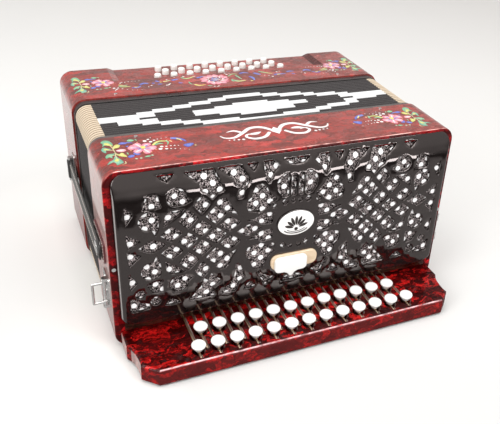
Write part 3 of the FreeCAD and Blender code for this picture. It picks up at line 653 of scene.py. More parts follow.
def bellows_cloth(name):
    """Woven cloth; the vertex colours hold the white, beige and depth masks."""
    material, tree = new_material(name)
    uv = node("ShaderNodeUVMap", {}, tree=tree, uv_map="rest")
    white, beige, depth = split(vertex_color(tree))
    u, v, _ = split(uv)
    weave = (thread_bands(combine(u, 0.0, 0.0), "X")
             + thread_bands(combine(0.0, v, 0.0), "Y")) * 0.5
    streak = noise(uv * (0.10, 1.0, 1.0), scale=900, detail=4, rough=0.65)
    cloud = noise(uv, scale=30, detail=4, rough=0.6)
    black = mix(streak * weave, (0.007, 0.006, 0.006), (0.060, 0.050, 0.052))
    # painted sheen: pale streaks along X on the black cloth
    sheen_streak = noise(uv * (0.05, 1.0, 1.0), scale=620, detail=3, rough=0.7)
    black = mix(ramp(sheen_streak, [(0.52, 0.0), (0.74, 0.60)]), black, (0.17, 0.145, 0.15))
    black = mix(cloud * 0.20, black, (0.036, 0.028, 0.029))
    white_color = mix((streak + cloud) * 0.5, (0.56, 0.565, 0.57), (0.64, 0.645, 0.65))
    beige_color = mix((streak + cloud) * 0.5, (0.42, 0.33, 0.235), (0.66, 0.555, 0.42))
    color = mix(beige, mix(white, black, white_color), beige_color)
    # painted shade: the depth mask darkens the fold valleys, less on the white
    shade = depth * (0.92 - white * 0.82)
    color = mix(shade, color, mix(beige, (0.010, 0.008, 0.008), (0.085, 0.048, 0.028)))
    return surface(
        material, color=color, rough=(0.52 + streak * 0.2) - white * 0.18, spec=0.32,
        sheen=0.10, sheen_rough=0.45,
        normal=bump(weave + streak * 0.7, strength=0.28, distance=0.00015))


def painted(name):
    """Glossy brush paint in the vertex colours."""
    material, tree = new_material(name)
    place = object_place(tree)
    paint = vertex_color(tree)
    cloud = noise(place * (1.0, 1.0, 1.0), scale=420, detail=4, rough=0.65, distortion=0.6)
    brush = noise(place * (1.0, 0.25, 1.0), scale=1400, detail=3, rough=0.6)
    color = mix(cloud * 0.30, paint, mix(1.0, paint, (0.42, 0.36, 0.36), "MULTIPLY"))
    color = mix(1.0, color, (0.84, 0.82, 0.82), "MULTIPLY")
    color = mix(rise(brush, 0.5, 0.8) * 0.25, color, (0.95, 0.93, 0.88))
    return surface(material, color=color, rough=0.22 + cloud * 0.15, coat=0.9, coat_rough=0.05,
                   normal=bump(cloud + brush, strength=0.15, distance=0.0001))


def cream_plastic(name):
    material, tree = new_material(name)
    place = object_place(tree)
    swirl = noise(place * (1.0, 1.0, 3.0), scale=70, detail=4, rough=0.6, distortion=1.2)
    return surface(
        material, color=mix(swirl, (0.52, 0.36, 0.22), (0.80, 0.66, 0.48)),
        rough=0.14 + swirl * 0.10, coat=0.6, coat_rough=0.05,
        normal=bump(noise(place, scale=500, detail=2), strength=0.05, distance=0.0001))


def felt(name, dark, light):
    material, tree = new_material(name)
    place = object_place(tree)
    fuzz = noise(place, scale=1600, detail=4, rough=0.7)
    cloud = noise(place, scale=200, detail=3, rough=0.6)
    return surface(material, color=mix((fuzz + cloud) * 0.5, dark, light), rough=0.95, spec=0.15,
                   sheen=0.5, normal=bump(fuzz, strength=0.6, distance=0.0003))


PEARL = pearl("red_pearloid", dark=(0.095, 0.013, 0.009), mid=(0.245, 0.026, 0.018),
              hot=(0.60, 0.036, 0.027), flash=(0.88, 0.11, 0.08), contrast=0.85)
# the fingerboard's pearloid is a darker copy of the casing's, with finer flakes; its darkness is
# painted shade under the grille and keys
SHADED_BOARD = pearl("red_pearloid_board_shaded", dark=(0.013, 0.0003, 0.0003), mid=(0.070, 0.0011, 0.0012),
              hot=(0.66, 0.010, 0.009), flash=(1.0, 0.08, 0.06), contrast=1.20, spec=0.05,
              coat=0.27, highlight_gain=0.85, shading_gain=0.9, size=1.55,
              front_tone=(0.55, 0.5, 0.5), front_add=(0.085, 0.014, 0.014),
              highlight_color=(0.80, 0.52, 0.54), highlight_range=(0.93, 0.99), highlight_floor=0.25)
BLACK = black_gloss("black_gloss")
GLITTER = glitter("glitter_cloth")
WHITE = white_plastic("white_plastic", dark=(0.76, 0.757, 0.742), light=(0.83, 0.825, 0.81))
ENAMEL = white_plastic("badge_enamel", dark=(0.84, 0.825, 0.81), light=(0.90, 0.885, 0.87),
                       rough=0.2)
BASS_WHITE = white_plastic("bass_white_plastic", dark=(0.70, 0.685, 0.66),
                           light=(0.79, 0.775, 0.75), rough=0.18)
STEEL = metal("steel")
LEVER = metal("key_metal", dark=(0.56, 0.40, 0.27), light=(0.82, 0.64, 0.48), rough=0.30,
              brushed=1.0, spots=(0.24, 0.15, 0.09))
SPRING = metal("spring_steel", dark=(0.40, 0.40, 0.42), light=(0.58, 0.58, 0.60), rough=0.28,
               brushed=1.0)
SPRUCE = wood("spruce", dark=(0.50, 0.34, 0.19), light=(0.74, 0.57, 0.38))
BLOCK = wood("reed_block_wood", dark=(0.34, 0.20, 0.11), light=(0.56, 0.38, 0.23))
BELLOWS = bellows_cloth("bellows_cloth")
FRAME_BLACK = leather("frame_black", dark=(0.018, 0.017, 0.017), worn=(0.050, 0.046, 0.046),
                      rough=0.30, grain=1500, coat=0.35, crease=0.35)
# a lighter copy of the black frame leather, for the treble bellows frame
FRAME_LIGHTER = leather("frame_black_lighter", dark=(0.055, 0.044, 0.042), worn=(0.11, 0.092, 0.088),
                     rough=0.34, grain=1500, coat=0.30, crease=0.30)
STRAP = leather("strap_leather", dark=(0.014, 0.0125, 0.012), worn=(0.040, 0.036, 0.035),
                rough=0.40, grain=800, coat=0.1)
TAB = leather("tab_leather", dark=(0.075, 0.012, 0.014), worn=(0.150, 0.028, 0.030),
              rough=0.36, grain=1000, coat=0.2)
CREAM = cream_plastic("cream_plastic")
PAINT = painted("painted_flowers")
FELT = felt("pallet_felt", dark=(0.16, 0.02, 0.02), light=(0.30, 0.05, 0.05))
LINING = felt("strap_lining", dark=(0.10, 0.085, 0.075), light=(0.22, 0.19, 0.165))
THREAD = felt("stitch_thread", dark=(0.55, 0.50, 0.44), light=(0.80, 0.75, 0.68))

# CAD pieces that keep their mesh: material, slot, piece names
CAD_PIECES = [
    (PEARL, "red_pearloid", "treble_casing bass_casing"),
    (SHADED_BOARD, "red_pearloid", "fingerboard"),
    (PEARL, "red_pearloid", "bass_button_plate bass_cover"),
    (SPRUCE, "spruce", "treble_soundboard bass_soundboard"),
    (BLOCK, "reed_block_wood", "treble_reed_blocks bass_reed_blocks"),
    (FRAME_LIGHTER, "frame_black", "treble_bellows_frame"),
    (FRAME_BLACK, "frame_black", "bass_bellows_frame"),
    (GLITTER, "glitter_cloth", "grille_cloth"),
    (SPRING, "spring_steel", "treble_key_axle bass_axles"),
    (LEVER, "key_metal", "bass_pallets_front bass_pallets_middle bass_pallets_back"),
    (STEEL, "steel", "treble_metal_fittings bass_metal_fittings strap_ring_left"
                     " strap_ring_right hand_strap_brackets"),
    (WHITE, "white_plastic", "air_button")]
for material, slot, names in CAD_PIECES:
    for name in names.split():
        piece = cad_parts[name]
        piece.data.materials.clear()
        piece.data.materials.append(material)


# ---------------------------------------------------------------- grille
GRILLE_X = 178.5                                    # half width
GRILLE_Z0, BEND_Z, GRILLE_Z1 = 30.0, 175.0, 193.0   # foot, start of the upper slope, top
GRILLE_DEPTH = 8.0
TOP_RADIUS, FOOT_RADIUS = 12.0, 9.0


def diamond(x, z, a, b):
    """Eight-point lozenge with half width a and half height b."""
    dx, dz = a * 0.46, b * 0.60
    return [(x - a, z), (x - dx, z + dz), (x, z + b), (x + dx, z + dz),
            (x + a, z), (x + dx, z - dz), (x, z - b), (x - dx, z - dz)]


def horn(x, z, radius, up, start, end, tip):
    """Round opening with a curved horn that leaves it between the angles start and end."""
    loop = []
    for k in range(17):
        a = math.radians(start + (360 - start + end) * k / 16)
        loop.append((x + radius * math.cos(a), z + up * radius * math.sin(a)))
    first, last = loop[0], loop[-1]
    steep = abs(tip[0] - x) < abs(tip[1] - z) * 0.6
    bend_x, bend_z, back_x, back_z = (0.6, 0.0, -0.3, -1.0) if steep else (0.0, 0.2, 0.0, 1.4)
    bend = ((last[0] + tip[0]) / 2 + bend_x, (last[1] + tip[1]) / 2 + up * bend_z)
    back = ((first[0] + tip[0]) / 2 + back_x, (first[1] + tip[1]) / 2 + up * back_z)
    return loop + [bend, tip, back]


def round_hole(x, z, radius):
    return ellipse(x, z, radius, radius, 8)


# Openings of the -X half. Diamonds: x, z, half width, half height
DIAMONDS = [
    (-97, 156, 7, 8.6), (-110.3, 142.5, 8.6, 9), (-83.3, 142.2, 9, 8.8), (-126.4, 129, 9.4, 7.2),
    (-97, 130, 8.6, 8), (-69, 129.5, 9.6, 7.2), (-144.5, 119, 12, 6.4), (-110.3, 119, 8.6, 7.6),
    (-82.8, 119, 9.2, 8), (-49.5, 119, 11.6, 5.4), (-126.4, 109, 9.4, 7.2), (-97, 108, 8.6, 8),
    (-69, 108.5, 9.6, 7.2), (-110.3, 95.5, 8.6, 9), (-83.3, 95.8, 9, 8.8), (-97, 82, 7, 8.6)]
# All of them as loops of x, z
SIDE_OPENINGS = [diamond(*row) for row in DIAMONDS] + [
    [(-132.5, 139.5), (-131.5, 149), (-127, 153), (-114.5, 153.5), (-123, 147)],
    [(-132.5, 98.5), (-123, 91), (-114.5, 84.5), (-127, 85), (-131.5, 89)],
    horn(-146.6, 146.5, 9.0, up=-1, start=72, end=18, tip=(-141.2, 131.0)),
    horn(-146.6, 91.5, 9.0, up=1, start=72, end=18, tip=(-141.2, 107.0)),
    horn(-120.6, 167.4, 8.4, up=-1, start=80, end=8, tip=(-107.6, 162.2)),
    horn(-120.6, 71, 8.4, up=1, start=80, end=8, tip=(-107.6, 76.2)),
    [(-147.5, 172.5), (-138.5, 172.5), (-135.8, 160), (-151, 160)],
    [(-150.5, 76), (-137, 79), (-137, 66), (-146, 67)],
    [(-167.5, 163), (-161, 156.5), (-167, 147)],
    [(-167.5, 135), (-156, 127), (-166, 121.5)],
    [(-167.5, 116.5), (-166, 102), (-156, 111)],
    [(-167.5, 91), (-167, 75), (-161, 81.5)],
    round_hole(-158.3, 67, 3.8), round_hole(-144, 56, 4.3),
    [(-167.5, 62.5), (-162, 61.5), (-160, 57), (-151, 53.5), (-150.5, 49), (-167.5, 49)],
    [(-134, 49), (-128.5, 54.5), (-120.5, 49)],
    [(-110.5, 48.5), (-103, 57), (-98, 62), (-95, 70), (-91, 66.5), (-88, 74.5), (-85, 70),
     (-79.5, 66), (-84, 61), (-89, 59.5), (-86, 52), (-85, 48.5)],
    [(-62, 80.5), (-58.5, 78), (-56, 71), (-53.5, 62.5), (-60, 59), (-62, 52), (-64, 48.5),
     (-79, 48.5), (-72, 55), (-65, 62), (-62.8, 70)],
    [(-53, 49), (-47.5, 55.5), (-42, 49)],
    [(-38, 66), (-34, 61), (-28, 57.5), (-22, 56), (-28, 52), (-29.5, 48.7), (-32, 49),
     (-33, 55), (-37.5, 61)],
    [(-46, 160), (-43, 166), (-38, 167.5), (-33, 164), (-30.5, 158), (-26, 153), (-22.2, 149),
     (-28.5, 146.5), (-31, 141), (-37, 138), (-43, 139), (-50, 141), (-52, 147), (-50, 152.5),
     (-46.5, 155)],
    [(-46, 78), (-46.5, 83), (-50, 85.5), (-52, 91), (-50, 97), (-43, 99), (-37, 100),
     (-31, 97), (-28.5, 91.5), (-22.6, 88.5), (-28, 84.5), (-31, 80), (-33, 74), (-38, 70.5),
     (-43, 72)],
    [(-51, 130), (-44, 129), (-40, 132), (-33, 134.5), (-25, 133.5), (-26, 123), (-33, 123.5),
     (-38, 124.5), (-43, 128)],
    [(-51, 108), (-43, 110), (-38, 113.5), (-33, 114.5), (-26, 115), (-25, 104.5),
     (-33, 103.5), (-40, 106), (-44, 109)],
    [(-83, 155), (-79, 158.5), (-74, 158), (-70, 153), (-67, 146), (-62.5, 139.5), (-71, 144),
     (-78, 150)],
    [(-83, 83), (-78, 88), (-71, 94), (-62.5, 98.5), (-67, 92), (-70, 85), (-74, 80),
     (-79, 79.5)],
    [(-136, 189), (-122, 189), (-128, 183.5)],
    [(-111, 188.5), (-84, 188.5), (-80, 176), (-76, 168), (-82, 166), (-86.5, 161), (-92, 168),
     (-97, 171), (-98, 179), (-105, 184)],
    [(-79, 188.5), (-58, 188.5), (-50.5, 174), (-55, 166), (-57, 157), (-60.5, 157),
     (-60.5, 168), (-66, 179)],
    [(-50, 188.5), (-41, 188.5), (-45, 183)],
    [(-34, 188.5), (-26, 188.5), (-20, 184.5), (-26.5, 178), (-30.5, 169), (-33.5, 177)],
    [(-17, 173), (-10, 175), (-9.4, 151), (-15, 151), (-20, 158), (-21, 167)],
    [(-5.8, 173.5), (-2.4, 173.5), (-2.4, 151), (-5.8, 151)],
    round_hole(-12.5, 144, 2.2), round_hole(-4, 144.4, 1.6), round_hole(-24.4, 142, 1.9),
    round_hole(-12.5, 93.4, 2.2), round_hole(-5, 91, 1.5), round_hole(-24.8, 95.6, 2.1)]
CENTRE_OPENINGS = [[(-13, 188.5), (13, 188.5), (7, 184.5), (-7, 184.5)],
                   [(-13.5, 48.6), (-7, 53), (7, 53), (13.5, 48.6)]]
# The pattern is enlarged by this share about a point on the middle line
PATTERN_GROWTH, PATTERN_ORIGIN_Z = 0.0055, 486.5
# Rounded rims of the openings: distance outside the opening, drop below the face
RIMS = [(0.0, 0.62), (0.10, 0.30), (0.30, 0.08), (0.62, 0.0)]


def smooth_min(a, b, width):
    t = max(width - abs(a - b), 0.0) / width
    return min(a, b) - t * t * width * 0.25


def inside_distance(x, z):
    """Distance inside the grille outline."""
    mid, half = (GRILLE_Z0 + GRILLE_Z1) / 2, (GRILLE_Z1 - GRILLE_Z0) / 2
    radius = TOP_RADIUS if z > mid else FOOT_RADIUS
    dx, dz = abs(x) - (GRILLE_X - radius), abs(z - mid) - (half - radius)
    return radius - (math.hypot(max(dx, 0), max(dz, 0)) + min(max(dx, dz), 0))


def grille_height(x, z):
    """How far the shell's outside stands ahead of the front face."""
    slope = (GRILLE_Z1 - z) * GRILLE_DEPTH / (GRILLE_Z1 - BEND_Z)
    top = smooth_min(slope, GRILLE_DEPTH, 3.4)
    side_radius, foot_radius = 4.6, 2.2
    d = min(GRILLE_X - abs(x), side_radius)
    if z > GRILLE_Z1 - 14 and abs(x) > GRILLE_X - 14:
        d = min(d, max(inside_distance(x, z), 0.0))
    elif z < GRILLE_Z0 + 10 and abs(x) > GRILLE_X - 12:
        d = min(side_radius, max(inside_distance(x, z), 0.0))
    side = math.sqrt(max(0.0, 1 - (1 - d / side_radius) ** 2)) * (GRILLE_DEPTH + 0.4)
    above_foot = min(max(z - GRILLE_Z0, 0.0), foot_radius)
    foot = GRILLE_DEPTH - 1.1 * (1 - above_foot / foot_radius) ** 2
    return max(0.0, smooth_min(side, min(top, foot), 1.6))


def grille_openings():
    loops = []
    for loop in SIDE_OPENINGS:
        loops += [loop, [(-x, z) for x, z in reversed(loop)]]
    openings = []
    for loop in loops + CENTRE_OPENINGS:
        grown = [(x * (1 + PATTERN_GROWTH), z - (PATTERN_ORIGIN_Z - z) * PATTERN_GROWTH)
                 for x, z in loop]
        openings.append(anticlockwise(soften(offset(anticlockwise(grown), 0.9))))
    return openings


def grille_outline():
    """Rounded outline cut into steps of at most about 5 mm."""
    corners = rounded_loop(-GRILLE_X, GRILLE_X, GRILLE_Z0, GRILLE_Z1, FOOT_RADIUS,
                           top_radius=TOP_RADIUS)
    outline = []
    for i in range(len(corners)):
        a, b = np.array(corners[i]), np.array(corners[(i + 1) % len(corners)])
        count = max(1, int(np.linalg.norm(b - a) / 5.0))
        outline += [tuple(a + (b - a) * k / count) for k in range(count)]
    return outline


def inside(points, loop):
    """Which of the points (one per row) lie inside the loop."""
    loop = np.array(loop)
    px, pz = points[:, 0], points[:, 1]
    x0, z0 = loop[:, 0], loop[:, 1]
    x1, z1 = np.roll(x0, -1), np.roll(z0, -1)
    spans = (z0[None] > pz[:, None]) != (z1[None] > pz[:, None])
    crossing = ((x1 - x0)[None] * (pz[:, None] - z0[None]) / (z1 - z0 + 1e-12)[None]
                + x0[None])
    return (spans & (px[:, None] < crossing)).sum(1) % 2 == 1


def grille_fill(openings):
    """Rows close together along the two bends, a loose lattice elsewhere, clear of openings."""
    rows = [GRILLE_Z0 + rise_z for rise_z in (0.5, 1.1, 1.8, 2.6)]
    rows += list(np.arange(GRILLE_Z0 + 8, BEND_Z - 10, 6.0))
    rows += list(np.arange(BEND_Z - 9.0, BEND_Z + 9.0, 0.9))
    rows += list(np.arange(BEND_Z + 10.5, GRILLE_Z1 - 2, 3.0))
    fill = []
    for z in rows:
        step = 2.5 if abs(z - BEND_Z) < 9.5 else 6.0
        for x in np.arange(-GRILLE_X + 6.5, GRILLE_X - 6.4, step):
            fill.append((x + 0.01 * math.sin(z), z))
    fill = np.array(fill)
    near = np.zeros(len(fill), bool)
    for loop in openings:
        near |= inside(fill, offset(loop, 1.0))
    return fill[~near]


def grille_sheet():
    """Triangulated pierced sheet: points in X, Z, their drop at the rims, triangles."""
    openings, outline = grille_openings(), grille_outline()
    points, edges, drops = [], [], []

    def add_points(new, drop):
        points.extend(Vector((float(p[0]), float(p[1]))) for p in new)
        drops.extend([drop] * len(new))

    def add_loop(loop, drop):
        first, count = len(points), len(loop)
        add_points(loop, drop)
        edges.extend((first + i, first + (i + 1) % count) for i in range(count))

    for loop in openings:
        add_loop(loop, RIMS[0][1])
        for distance, drop in RIMS[1:]:
            add_points(offset(loop, distance), drop)
    add_loop(outline, 0.0)
    for distance in (0.10, 0.35, 0.8, 1.4, 2.2, 3.1, 4.1, 5.2):
        add_points(offset(outline, -distance), 0.0)
    add_points(grille_fill(openings), 0.0)

    verts, _, faces, sources, _, _ = delaunay_2d_cdt(points, edges, [], 0, 1e-5)
    flat = np.array([(p.x, p.y) for p in verts])
    drop = np.array([max([drops[k] for k in source], default=0.0) for source in sources])
    triangles = np.array([face for face in faces if len(face) == 3])
    centres = flat[triangles].mean(1)
    keep = inside(centres, outline)
    for loop in openings:
        keep &= ~inside(centres, loop)
    triangles = triangles[keep]
    used, index = np.unique(triangles, return_inverse=True)
    return flat[used], drop[used], index.reshape(-1, 3)


def build_grille():
    """One dished shell, 2 mm thick."""
    flat, drop, triangles = grille_sheet()
    height = np.array([grille_height(x, z) for x, z in flat])
    outer_y = np.minimum(FRONT_Y - height + drop, FRONT_Y - 0.05)
    inner_height = np.maximum(height - 2.0, np.minimum(height, 0.06))
    inner_y = FRONT_Y - np.maximum(inner_height, 0.05)
    outer = np.stack([flat[:, 0], outer_y, flat[:, 1]], 1)
    inner = np.stack([flat[:, 0], inner_y, flat[:, 1]], 1)
    # turn every triangle to face -Y
    a, b, c = (flat[triangles[:, k]] for k in range(3))
    turn = (b[:, 0] - a[:, 0]) * (c[:, 1] - a[:, 1]) - (b[:, 1] - a[:, 1]) * (c[:, 0] - a[:, 0])
    triangles[turn < 0] = triangles[turn < 0][:, ::-1]
    count = len(outer)
    faces = [tuple(t) for t in triangles] + [tuple(t[::-1] + count) for t in triangles]
    # close the open borders between the two skins
    edges = dict.fromkeys((t[k], t[(k + 1) % 3]) for t in triangles for k in range(3))
    faces += [(j, i, i + count, j + count) for i, j in edges if (j, i) not in edges]
    shell = make("grille_shell", np.vstack([outer, inner]), faces, [BLACK], sharp=52)
    attach(shell, "treble_body", "treble_grille")


build_grille()

# ---------------------------------------------------------------- treble keys
KEY_PITCH, FIRST_KEY_X = 19.5, -116.0
PIVOT_Y, PIVOT_Z, DECK_Y = FRONT_Y + 22.0, 14.0, FRONT_Y + 30.0
# Rows: cap and lever end ahead of the front face, height and half width of the pallet
OUTER_ROW = (53.0, 62.0, 122.0, 8.6)
INNER_ROW = (27.0, 51.0, 72.0, 7.2)
# radius, height
KEY_CAP = [(0, 20.35), (3.3, 20.35), (3.75, 20.7), (4.6, 21.9), (5.7, 23.6), (6.6, 24.9),
           (7.02, 25.7), (7.1, 26.4), (6.95, 27.2), (6.45, 28.0), (5.5, 28.65), (4.0, 29.1),
           (2.0, 29.33), (0, 29.38)]
KEY_STEM = [(0, 18.0), (2.2, 18.0), (2.2, 20.0), (2.0, 20.4), (0, 20.4)]


def build_key(number, x, row):
    cap, end, pallet_z, pallet_half = row
    key = Parts()

    def bar(half_width, y_range, z_range, ease, slot=1):
        key.add(rounded_box((x - half_width, x + half_width), y_range, z_range, ease), slot)

    key.add(lathe(KEY_CAP, (x, FRONT_Y - cap, 0), segments=40, steps=3), 0)
    key.add(lathe(KEY_STEM, (x, FRONT_Y - cap, 0), segments=16, steps=1), 1)
    bar(1.0, (FRONT_Y - end, PIVOT_Y), (14.2, 18.2), 0.35)
    key.add(sweep([(x - 2.0, PIVOT_Y, PIVOT_Z), (x + 2.0, PIVOT_Y, PIVOT_Z)], 3.7, 20), 1)
    bar(1.2, (PIVOT_Y - 1.6, DECK_Y - 6.0), (PIVOT_Z, PIVOT_Z + 9), 0.3)
    bar(1.2, (DECK_Y - 9.5, DECK_Y - 6.0), (PIVOT_Z + 2, pallet_z + 6), 0.3)
    # wooden pallet and its felt
    bar(pallet_half - 0.4, (DECK_Y - 5.95, DECK_Y - 2.3), (pallet_z - 13, pallet_z + 13), 0.5, 2)
    bar(pallet_half - 0.5, (DECK_Y - 2.4, DECK_Y - 0.05), (pallet_z - 12.9, pallet_z + 12.9),
        0.3, 3)
    # spring leg with its hooked end
    wire_x, wire_y = x + 2.7, DECK_Y - 10.25
    leg = [(0, 0.6), (0, 12.0), (0, 34.0), (-0.4, 34.5), (-4.2, 34.6)]
    key.add(sweep([(wire_x + dx, wire_y, PIVOT_Z + dz) for dx, dz in leg], 0.4, 8), 4)
    ob = key.build(f"key_{number:02d}", [WHITE, LEVER, SPRUCE, FELT, SPRING], 35)
    name = f"treble_key_{number:02d}"
    attach(ob, name, name)


def spring_coil(x):
    """Two turns of wire round the pivot of the key at x."""
    angles = [2 * math.pi * k / 20 + math.pi for k in range(41)]
    path = [(x + 2.7 - 0.45 + 0.9 * k / 40, PIVOT_Y + 2.25 * math.cos(a),
             PIVOT_Z - 2.25 * math.sin(a)) for k, a in enumerate(angles)]
    return sweep(path, 0.38, 7)


keys = [(FIRST_KEY_X + KEY_PITCH * i, OUTER_ROW) for i in range(13)]
keys += [(FIRST_KEY_X + KEY_PITCH * (i + 0.5), INNER_ROW) for i in range(12)]
coils = Parts()
for number, (x, row) in enumerate(sorted(keys), 1):
    build_key(number, x, row)
    coils.add(spring_coil(x))
attach(coils.build("key_spring_coils", [SPRING]), "treble_body", "treble_key_springs")

# ---------------------------------------------------------------- bass buttons
BASS_PITCH = 19.4
# row, y of the stems, x of the first, count, foot of the stems, shift of the caps in y
BASS_ROWS = [("front", FRONT_Y + 228.0, -79.3, 9, 166.6, -0.5),
             ("middle", FRONT_Y + 240.0, -66.8, 8, 121.6, 1.0),
             ("back", FRONT_Y + 252.5, -72.5, 8, 23.6, 1.5)]
# radius, height
BASS_CAP = [(0, 183.0), (3.9, 183.0), (4.05, 184), (4.1, 187.0), (4.1, 193.5), (4.08, 195.6),
            (3.95, 196.7), (3.55, 197.5), (2.7, 198.0), (1.4, 198.17), (0, 198.2)]
for row, y, first_x, count, foot, cap_shift in BASS_ROWS:
    stem = [(0, foot + 0.25), (1.2, foot + 0.25), (1.4, foot + 0.6), (1.4, 183.2), (0, 183.2)]
    buttons = Parts()
    for i in range(count):
        x = first_x + BASS_PITCH * i
        buttons.add(lathe(BASS_CAP, (x, y + cap_shift, 0), segments=32, steps=2), 0)
        buttons.add(lathe(stem, (x, y, 0), segments=12, steps=1), 1)
    ob = buttons.build("bass_caps_" + row, [BASS_WHITE, SPRING], 50)
    attach(ob, "bass_buttons_" + row, "bass_buttons_" + row)

# ---------------------------------------------------------------- bellows
FOLDS = 18
BELLOWS_Y0, BELLOWS_Y1 = 44.1, 128.9
FOLD_PITCH = (BELLOWS_Y1 - BELLOWS_Y0) / FOLDS
FOLD_DEPTH = 11.0
BELLOWS_X, BELLOWS_Z = WIDTH / 2 - 2.6, HEIGHT / 2 - 2.6    # half width, half height
BELLOWS_MID_Z, BELLOWS_RADIUS = HEIGHT / 2, 13.0
BEIGE_X = (-166.0, 165.0)       # the corners beyond these are beige
# White patches on top: x from, x to, y from, y to, y measured from the front face
WHITE_PATCHES = [
    (-166, -148, 112, 125), (-149, -126, 104, 127), (-126, -108, 120, 131),
    (-108.5, -85.5, 125, 136), (-85.5, -66.5, 130, 141), (-66.5, -43.5, 135, 147),
    (-43.5, -24.5, 140, 151), (-24.5, 19.5, 144, 156), (19.5, 39.5, 140, 151),
    (39.5, 66.5, 135, 147), (66.5, 81.5, 130, 141), (81.5, 106.5, 125, 136),
    (106.5, 121, 120, 130), (121, 149.5, 109, 127), (149.5, 165, 115, 125),
    (-126, -108.5, 99, 111), (-108.5, -86.5, 94, 105), (-86.5, -67.5, 89, 101),
    (-67.5, -45, 86, 96), (-45, -26.5, 83, 92), (-26.5, 23.5, 83.5, 90), (23.5, 39, 83, 92),
    (39, 64.5, 86, 96), (64.5, 81, 91, 101), (81, 106.5, 96, 106), (106.5, 121, 100, 112),
    (-69, -43.5, 109, 122), (-43.5, -21.5, 104, 127), (-21.5, 19.5, 99, 132),
    (19.5, 43.5, 104, 127), (43.5, 63, 111, 122)]
# Half a fold: distance from its start, depth, share of the stretch up to the crown
FOLD_EDGE = [(0.0, FOLD_DEPTH, 0.0), (0.08, FOLD_DEPTH * 0.50, 0.5), (0.16, 2.6, 0.90),
             (0.30, 1.75, 1.0), (0.56, 1.08, 1.0), (0.98, 0.50, 1.0), (1.55, 0.14, 1.0)]
# Corners in walking order: side in X, side in Z, starting angle
BELLOWS_CORNERS = [(1, 1, 90), (1, -1, 0), (-1, -1, -90), (-1, 1, 180)]


def bellows_stations():
    """X stations along the top and Z stations down the +X side."""
    ends = BELLOWS_X - BELLOWS_RADIUS
    xs = {x for patch in WHITE_PATCHES for x in patch[:2]} | {*BEIGE_X, -163.6, 162.6}
    xs = sorted(xs | set(np.arange(-160, 170, 20.0)))
    xs = [x for i, x in enumerate(xs) if i == 0 or x - xs[i - 1] > 0.6]
    xs = [-ends] + [x for x in xs if -ends < x < ends] + [ends]
    zs = [BELLOWS_MID_Z + BELLOWS_Z - BELLOWS_RADIUS, 176.0]
    zs += list(np.arange(160, 30, -18.0))
    zs += [20.0, BELLOWS_MID_Z - BELLOWS_Z + BELLOWS_RADIUS]
    return xs, zs


def bellows_section(xs, zs, inset):
    """Cross-section: top towards +X, down, back along the bottom and up the -X side."""
    half_x, half_z = BELLOWS_X - inset, BELLOWS_Z - inset
    radius = BELLOWS_RADIUS - inset
    sides = [[(x, BELLOWS_MID_Z + half_z) for x in xs], [(half_x, z) for z in zs],
             [(x, BELLOWS_MID_Z - half_z) for x in reversed(xs)],
             [(-half_x, z) for z in reversed(zs)]]
    section = []
    for side, (sx, sz, start) in zip(sides, BELLOWS_CORNERS):
        cx = sx * (BELLOWS_X - BELLOWS_RADIUS)
        cz = BELLOWS_MID_Z + sz * (BELLOWS_Z - BELLOWS_RADIUS)
        angles = [math.radians(start - 90 * k / 8) for k in range(1, 8)]
        section += side
        section += [(cx + radius * math.cos(a), cz + radius * math.sin(a)) for a in angles]
    return section


def bellows_stages():
    """Rings along Y: y, inset, blend weight between the two bodies, fold number."""
    profile = FOLD_EDGE + [(FOLD_PITCH / 2, 0.0, 1.0)]
    profile += [(FOLD_PITCH - t, depth, -share) for t, depth, share in reversed(FOLD_EDGE[1:])]
    stages = []
    for fold in range(FOLDS):
        for t, depth, share in profile:
            whole = fold if share >= 0 else fold + 1
            stages.append((BELLOWS_Y0 + fold * FOLD_PITCH + t, depth,
                           (whole + 0.5 * share) / FOLDS, fold))
    stages.append((BELLOWS_Y1, FOLD_DEPTH, 1.0, FOLDS - 1))
    return stages


def white_patch_folds():
    """x from, x to, first fold, end fold of each white patch."""
    patches = []
    for x0, x1, y0, y1 in WHITE_PATCHES:
        first = round((y0 + FRONT_Y - BELLOWS_Y0) / FOLD_PITCH)
        end = round((y1 + FRONT_Y - BELLOWS_Y0) / FOLD_PITCH)
        patches.append((x0, x1, max(0, first), min(FOLDS, max(end, first + 1))))
    return patches


